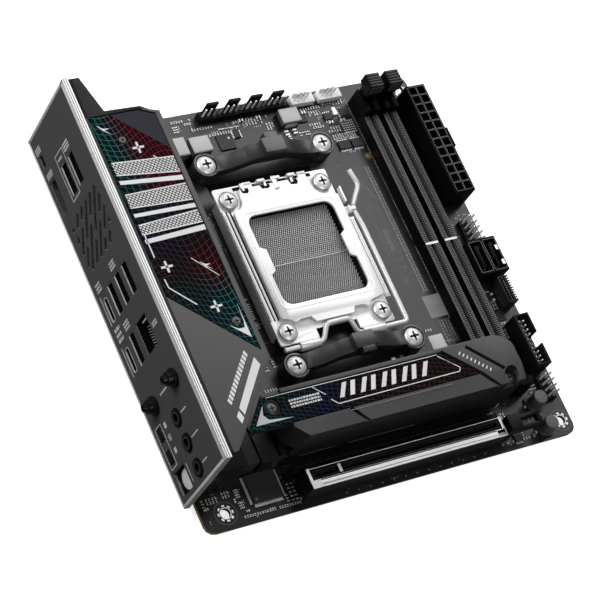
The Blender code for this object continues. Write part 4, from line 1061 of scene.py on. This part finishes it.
def port_details():
    """Shells, tongues and contacts of every port behind the plate, with painted shade deep inside the
    standard and Type-C shells.
    """
    piece = Piece("port_shells", "steel", TIN, CHIP, CONTACT, BLACK_PLASTIC)
    standard = [((65.6, 78.6), (10.4, 15.3))]
    standard += [((87, 100), (z, z + 5)) for z in (10.2, 18.2, 26.2)]
    standard += [((136.6, 150), (z, z + 5.2)) for z in (14, 22)]
    for y, z in standard:
        shell(piece, y, z, 0.3, 0.16, back=FACE + 0.6)
        # painted shade: the shell is black behind its front edge
        shell(piece, y, z, 0.3, 0.25, front=FACE + 0.6, paint=3)
        piece.box((-1.6, DEEP), (y[0] + 1.1, y[1] - 1.1), (z[0] + 2.3, z[0] + 3.6), 1)
        tongue_pads(piece, (-1.3, 3), (y[0] + 2.6, y[1] - 2.6), 5, 0.4, (z[0] + 3.6, z[0] + 3.66))
        tongue_pads(piece, (-1.3, 3), (y[0] + 3.2, y[1] - 3.2), 4, 0.45, (z[0] + 2.24, z[0] + 2.3))
    for y, z in (((65.8, 76.4), (3.4, 7.2)), ((87.2, 97.8), (3.4, 7.2))):
        shell(piece, y, z, 1.6, 0.28, FACE - 0.05, FACE + 0.5)
        # painted shade: the shell is black behind its front edge
        shell(piece, y, z, 1.6, 0.4, FACE + 0.5, paint=3)
        piece.box((-2.6, DEEP), (y[0] + 2, y[1] - 2), (z[0] + 1.6, z[0] + 2.3), 1)
    outline = [(135.4, 2.9), (135.4, 6.2), (150, 6.2), (150, 2.9), (147.6, 1.2), (137.8, 1.2)]
    inner = [(135.75, 3.05), (135.75, 5.85), (149.65, 5.85), (149.65, 3.05), (147.45, 1.55), (137.95, 1.55)]
    piece.tube(outline, inner, FACE + 0.15, DEEP, "x", 2)
    piece.box((-1.6, DEEP), (137.6, 147.8), (3.4, 4.4), 1)
    tongue_pads(piece, (-1.4, 3), (138.4, 147), 10, 0.2, (4.4, 4.44))
    shell(piece, (65.6, 78.6), (19.2, 29), 0.2, 0.25, paint=3)
    piece.box((-1, DEEP), (66.4, 77.8), (26.6, 28.6), 1)
    for y in steps(68.2, 76, 8):
        piece.plate([(-0.6, 21), (-0.3, 21), (4.9, 24.6), (4.6, 24.6)], y - 0.2, y + 0.2, "y", 2)
    piece.box((FACE + 0.1, FACE + 0.9), (76.3, 76.7), (24.4, 28.4))
    for y in (19.3, 29.4, 39.5):
        piece.hoop((FACE - 0.62, y, 20.2), 1.87, 2.3, 0.3, (1, 0, 0), 32, 2)
        piece.disc((4, y, 20.2), 1.8, 0.5, paint=1, axis=(1, 0, 0))
    piece.finish()
    lights = Piece("network_lights", "white_plastic", LABEL)
    for y in ((64.35, 65.5), (78.75, 79.9)):
        lights.box((-3.3, -2.6), y, (27.2, 28.8))
    lights.finish()


def plate_foot():
    """The port plate's lower return, which closes the gap beside the board's edge."""
    piece = Piece("plate_foot", "cover_metal", DARK_COATING)
    piece.box((-2.8, -0.1), (13.5, 170.5), (-1.5, -1.2))
    piece.finish()


def plate_rim():
    """Bright folded rim of the port plate: two ridges along the top, one along each other side."""
    piece = Piece("plate_rim", "steel", STEEL)
    for y, z in (((13.2, 171.2), (39.7, 40.7)), ((13.2, 171.2), (41.2, 42.2)), ((12.75, 13.7), (-2, 42)),
                 ((170.3, 171.3), (-2, 42)), ((13.2, 171.2), (-2.1, -1.5))):
        piece.box((FACE - 0.16, FACE), y, z)
    piece.finish(bevel=0.06)


def plate_print():
    """Outlines, underlines and plain marks printed on the port plate."""
    piece = Piece("plate_print", "cover_metal", INK)
    low, high = FACE - PRINT, FACE
    for y, z in (((27, 43.8), (0.5, 6.6)), ((135, 154.9), (12.6, 20.9))):
        piece.rim(y, z, 0.3, (0.2, 0.1), low, high, "x", sides=2)
    for start, end in ((65.4, 77.6), (87, 99.4)):
        piece.stroke((start, 2), (end, 2), 0.45, low, high, "x")
    for y, z in (((80.1, 83.8), (10.4, 15.2)), ((79, 85.6), (2.2, 7.2)), ((101.4, 105), (18.4, 23.2)),
                 ((100.8, 104.8), (1.8, 6.4)), ((151.5, 154), (0.8, 6.6)), ((151.4, 155), (21.9, 27.2)),
                 ((162.8, 165.8), (0, 5)), ((71, 73.2), (30.6, 35.2))):
        fine_print(piece, y, z, 3, low, "x", upright=True)
    for y, z in (((18.9, 19.8), (24.4, 29.2)), ((29, 29.9), (24.6, 31.2)), ((39.1, 40), (24.4, 29.6)),
                 ((50.6, 51.8), (15.4, 22.2)), ((151.6, 153), (14.2, 18.2))):
        fine_print(piece, y, z, 1, low, "x", upright=True)
    fine_print(piece, (17.2, 24.6), (12.4, 13.2), 1, low, "x")
    for y in (31.4, 41.6):
        piece.plate(oblong((y - 1.1, y + 1.1), (8.8, 10.6), 0.3, 3), low, high, "x")
    fine_print(piece, (35.4, 38), (8.6, 10.6), 3, low, "x", upright=True)
    piece.finish()


# ---------------------------------------------------------------- cover and heat spreader

COVER_TOP = 41.8
SPREADER_TOP = 31.0
FRONT_FACE = 17.78
DIAGONAL = (Vector((0.4, 77.4)), Vector((27.2, 49.5)))


def dark_screw(piece, x, y, top, radius=1.9):
    """A small black cross-head screw in a shallow ring, with painted shade in the ring and in its cross."""
    # painted shade in the ring round the head and in the cross
    piece.hoop((x, y, top), radius, radius + 0.25, 0.05, paint=1)
    piece.turned((x, y, top), [(radius * 0.95, 0), (radius * 0.85, 0.14), (radius * 0.5, 0.2)], sides=24)
    reach = radius * 0.45
    for du, dv in ((reach, 0), (0, reach)):
        piece.stroke((x - du, y - dv), (x + du, y + dv), 0.4, top + 0.2, top + 0.23, paint=1)


def panel_bands():
    """Plain silver bands, bars and marks printed on the cover's panel."""
    bands = Piece("panel_bands", "printed_panel", HATCH, INK, LABEL)
    top = COVER_TOP + 0.01
    for low, rise, wide, paint in ((125.2, 3, 6.6, 0), (121.6, 2.6, 2, 2), (113, 1.2, 7, 0),
                                   (109.6, 0.6, 1.8, 2), (103.4, -0.6, 5, 0), (100, -1, 2.2, 1)):
        left, right = low + rise, low
        bands.plate([(1.4, left), (26.9, right), (26.9, right + wide), (1.4, left + wide * 0.8)],
                    top, paint=paint)
        if paint == 0:
            for start, end in ((left, right), (left + wide * 0.8, right + wide)):
                bands.stroke((1.4, start), (26.9, end), 0.4, top + PRINT, paint=2)
    bands.plate([(25.9, 69), (25.9, 54.6), (19.2, 61), (22.4, 58.9), (24.8, 58.9), (25.5, 61.5)],
                top, paint=1)
    for start, end, width in (((2.2, 104.2), (2.2, 93), 0.5), ((2.4, 84), (2.6, 80.4), 0.5),
                              ((2.6, 80.4), (10.6, 71.6), 0.5), ((16, 90), (24, 81), 0.3),
                              ((19, 133.6), (23, 129.6), 0.4)):
        bands.stroke(start, end, width, top, paint=1)
    for x, y, size in ((4.2, 147.6, 2.4), (20.6, 86, 2)):
        bands.plate([(x - size, y + size), (x - 0.1, y + 0.5), (x + size, y + 0.3), (x + 0.1, y - 0.3),
                     (x + size, y - size), (x - 0.2, y - 0.6)], top, paint=2)
    for x, y in ((14.6, 138), (5.4, 88.6), (17.6, 69.4)):
        for du, dv in ((2.4, 0), (0, 2.4)):
            bands.stroke((x - du, y - dv), (x + du, y + dv), 0.9, top, paint=1)
    bands.finish()


def cover_details():
    """The cover's screws, the toothed edge of its printed panel, and the stripes on its bare metal."""
    top = COVER_TOP + 0.01
    screws = Piece("cover_screws", "dark_metal", SATIN_PLASTIC, SHADOW)
    dark_screw(screws, 22.8, 62, top)
    dark_screw(screws, 9.8, 142.2, top, 1.5)
    screws.finish(smooth=True)
    teeth = Piece("cover_teeth", "cover_metal", SHADOW)
    span = DIAGONAL[1] - DIAGONAL[0]
    along = span.normalized()
    out = Vector((along.y, -along.x))
    for at in steps(0.6, span.length - 0.6, 34):
        base = DIAGONAL[0] + along * at - out * 0.9
        teeth.stroke(base, base + out * 0.7, 0.6, COVER_TOP)
    teeth.finish()
    stripes = Piece("cover_stripes", "cover_metal", INK)
    stripes.plate([(23.2, 47), (24.4, 43.6), (10.2, 26.6), (9.2, 29.6)], top)
    stripes.plate([(8.6, 28.6), (9.5, 25.6), (7.8, 23.6), (6.9, 26.6)], top)
    for share in steps(0, 0.92, 13):
        x, y = 21.2 - 14.8 * share, 48.4 - 17.6 * share
        stripes.plate([(x, y), (x - 0.8, y + 2), (x - 1.6, y + 1.05), (x - 0.8, y - 0.95)], top)
    stripes.finish()


def spreader_details():
    """Outline, plain slanted bars and marks printed on the long panel, its screws, and parts below it."""
    piece = Piece("spreader_print", "printed_panel", INK, LABEL, FAINT_INK)
    top = SPREADER_TOP + 0.01
    corners = [(52.2, 28), (54.6, 25.6), (109.4, 26), (110.4, 27.4), (103, 34)]
    for start, end in zip(corners, corners[1:]):
        piece.stroke(start, end, 0.35, top)
    piece.stroke((27, 34.6), (103, 34.6), 0.25, top, paint=1)
    piece.stroke((46.6, 34.6), (51, 30.2), 0.3, top)
    for number in range(9):
        x = 56 + number * 4.6
        lean = 2.6 if number % 2 else 3.4
        piece.plate([(x, 27.6), (x + 2, 27.6), (x + 2 + lean, 33.2), (x + lean, 33.2)], top, paint=number % 2)
    fine_print(piece, (35.4, 48.6), (28.2, 32), 3, top)
    piece.plate([(18.8, 25), (34.8, 25), (24.8, 26.2), (23.2, 28.4), (24.4, 32)], top)
    piece.plate([(104.2, 33), (106, 31.4), (108.8, 29), (106.6, 30.4)], top)
    for share in steps(0.06, 0.94, 9):
        x, y = 112.2 + 11.2 * share, 33.6 - 10.6 * share
        piece.stroke((x - 0.5, y - 0.5), (x + 0.5, y + 0.5), 0.5, top, paint=1)
    fine_print(piece, (58, 104), (21.6, 22.2), 1, SPREADER_TOP, paint=2)
    piece.finish()
    screws = Piece("spreader_screws", "dark_metal", SATIN_PLASTIC, SHADOW)
    dark_screw(screws, 28.4, 30.6, 29.85, 2.4)
    dark_screw(screws, 131.6, 20, 27, 2.6)
    screws.finish(smooth=True)
    front = Piece("spreader_front_marks", "board", FAINT_INK, TIN)
    fine_print(front, (44, 60), (7.2, 8.4), 1, FRONT_FACE, "y")
    fine_print(front, (66, 96), (7, 8.4), 1, FRONT_FACE, "y")
    for x, y in grid(27.6, 21.9, 5, 3, 2.2, 1.85):
        front.disc((x + dice.uniform(-0.3, 0.3), y, 0), 0.3, 0.4, 8, 1)
    front.turned((138.4, 20.4, 0), [(2.2, 0.1), (2.2, 1.9), (1.9, 2.2)], sides=24, paint=1)
    front.finish()


def fin_stack():
    """Thin lines across the top of the power stage heat sink."""
    piece = Piece("heatsink_vents", "dark_metal", CONTACT)
    for near, far in ((62, 84), (92, 118)):
        for y in steps(near, far, int((far - near) / 1.1)):
            piece.box((31, 33), (y - 0.14, y + 0.14), (13, 13.05))
    piece.finish()


# ---------------------------------------------------------------- underside


def solder_joints():
    """Soldered pin ends and small parts on the board's underside."""
    piece = Piece("solder_joints", "board", TIN, FAINT_INK, CHIP, CERAMIC)
    low = -BOARD_THICK
    places = BOARD_POWER + CPU_POWER + FRONT_PINS
    places += [(69.6 + 10.28 * i + 2.53 * j, 165.9) for i in range(4) for j in range(4)]
    for columns, rows in ((steps(45.4, 128, 42), (6.6, 9.6)), ((157, 167), steps(72, 84, 4)),
                          ((139.6, 143.4, 148.9, 152.7), steps(22, 150, 9)),
                          ((2, 6, 14), steps(17, 44, 8)), ((4, 9, 14), steps(66, 80, 5)),
                          ((4, 9), steps(87, 100, 5) + steps(135, 150, 5))):
        places += [(x, y) for x in columns for y in rows]
    for x, y in places:
        piece.turned((x, y, low), [(0.75, 0), (0.45, 0.35), (0.35, 0.9)], (0, 0, -1), 8)
    for _ in range(260):
        x, y = dice.uniform(24, 150), dice.uniform(14, 160)
        if 50 < x < 124 and 44 < y < 152:
            continue
        long, wide = dice.choice(((1.0, 0.5), (0.5, 1.0), (1.6, 0.8)))
        piece.post(x, y, long / 2, wide / 2, (low - 0.5, low), dice.choice((2, 3)))
    for y in (4, 166):
        piece.stroke((24, y), (150, y), 0.2, low - PRINT, low, paint=1)
    piece.finish()


def make_floor():
    """A wide white sheet just under the part, which lights nothing and shows in no reflection."""
    bm = bmesh.new()
    bmesh.ops.create_grid(bm, x_segments=1, y_segments=1, size=6.0)
    mesh = bpy.data.meshes.new("floor")
    bm.to_mesh(mesh)
    bm.free()
    floor = bpy.data.objects.new("floor", mesh)
    floor.location = (0.0, 0.0, cad_box[0][2] - 0.0002)
    paint = surface("floor_paint", grey(0.9), 0.9, shade=0.01, bump=0.0)
    shader = paint.node_tree.nodes["Principled BSDF"]
    shader.inputs["Emission Color"].default_value = grey(1.0)
    shader.inputs["Emission Strength"].default_value = 0.75
    floor.data.materials.append(paint)
    floor.visible_diffuse = False
    floor.visible_glossy = False
    bpy.context.scene.collection.objects.link(floor)


make_floor()
dress_nodes()
board_parts()
quad_chip()
chokes()
bright_crystal("clock_crystal", (129.4, 131.2), (157.3, 160.8), 0.9)
round_capacitors()
mounting_pads()
test_points()
board_print()
pin_header("service_header", (162.4, 165), steps(87, 97.2, 5), 9.3)
pin_header("panel_header", (163, 165.6), steps(16.5, 24.2, 4), 8)
contact_field()
socket_details()
screw_drive_shade()
memory_contacts()
latch_ribs()
card_slot_details()
power_pins()
drive_ports()
header_details()
port_details()
plate_foot()
plate_rim()
plate_print()
panel_bands()
cover_details()
spreader_details()
fin_stack()
solder_joints()
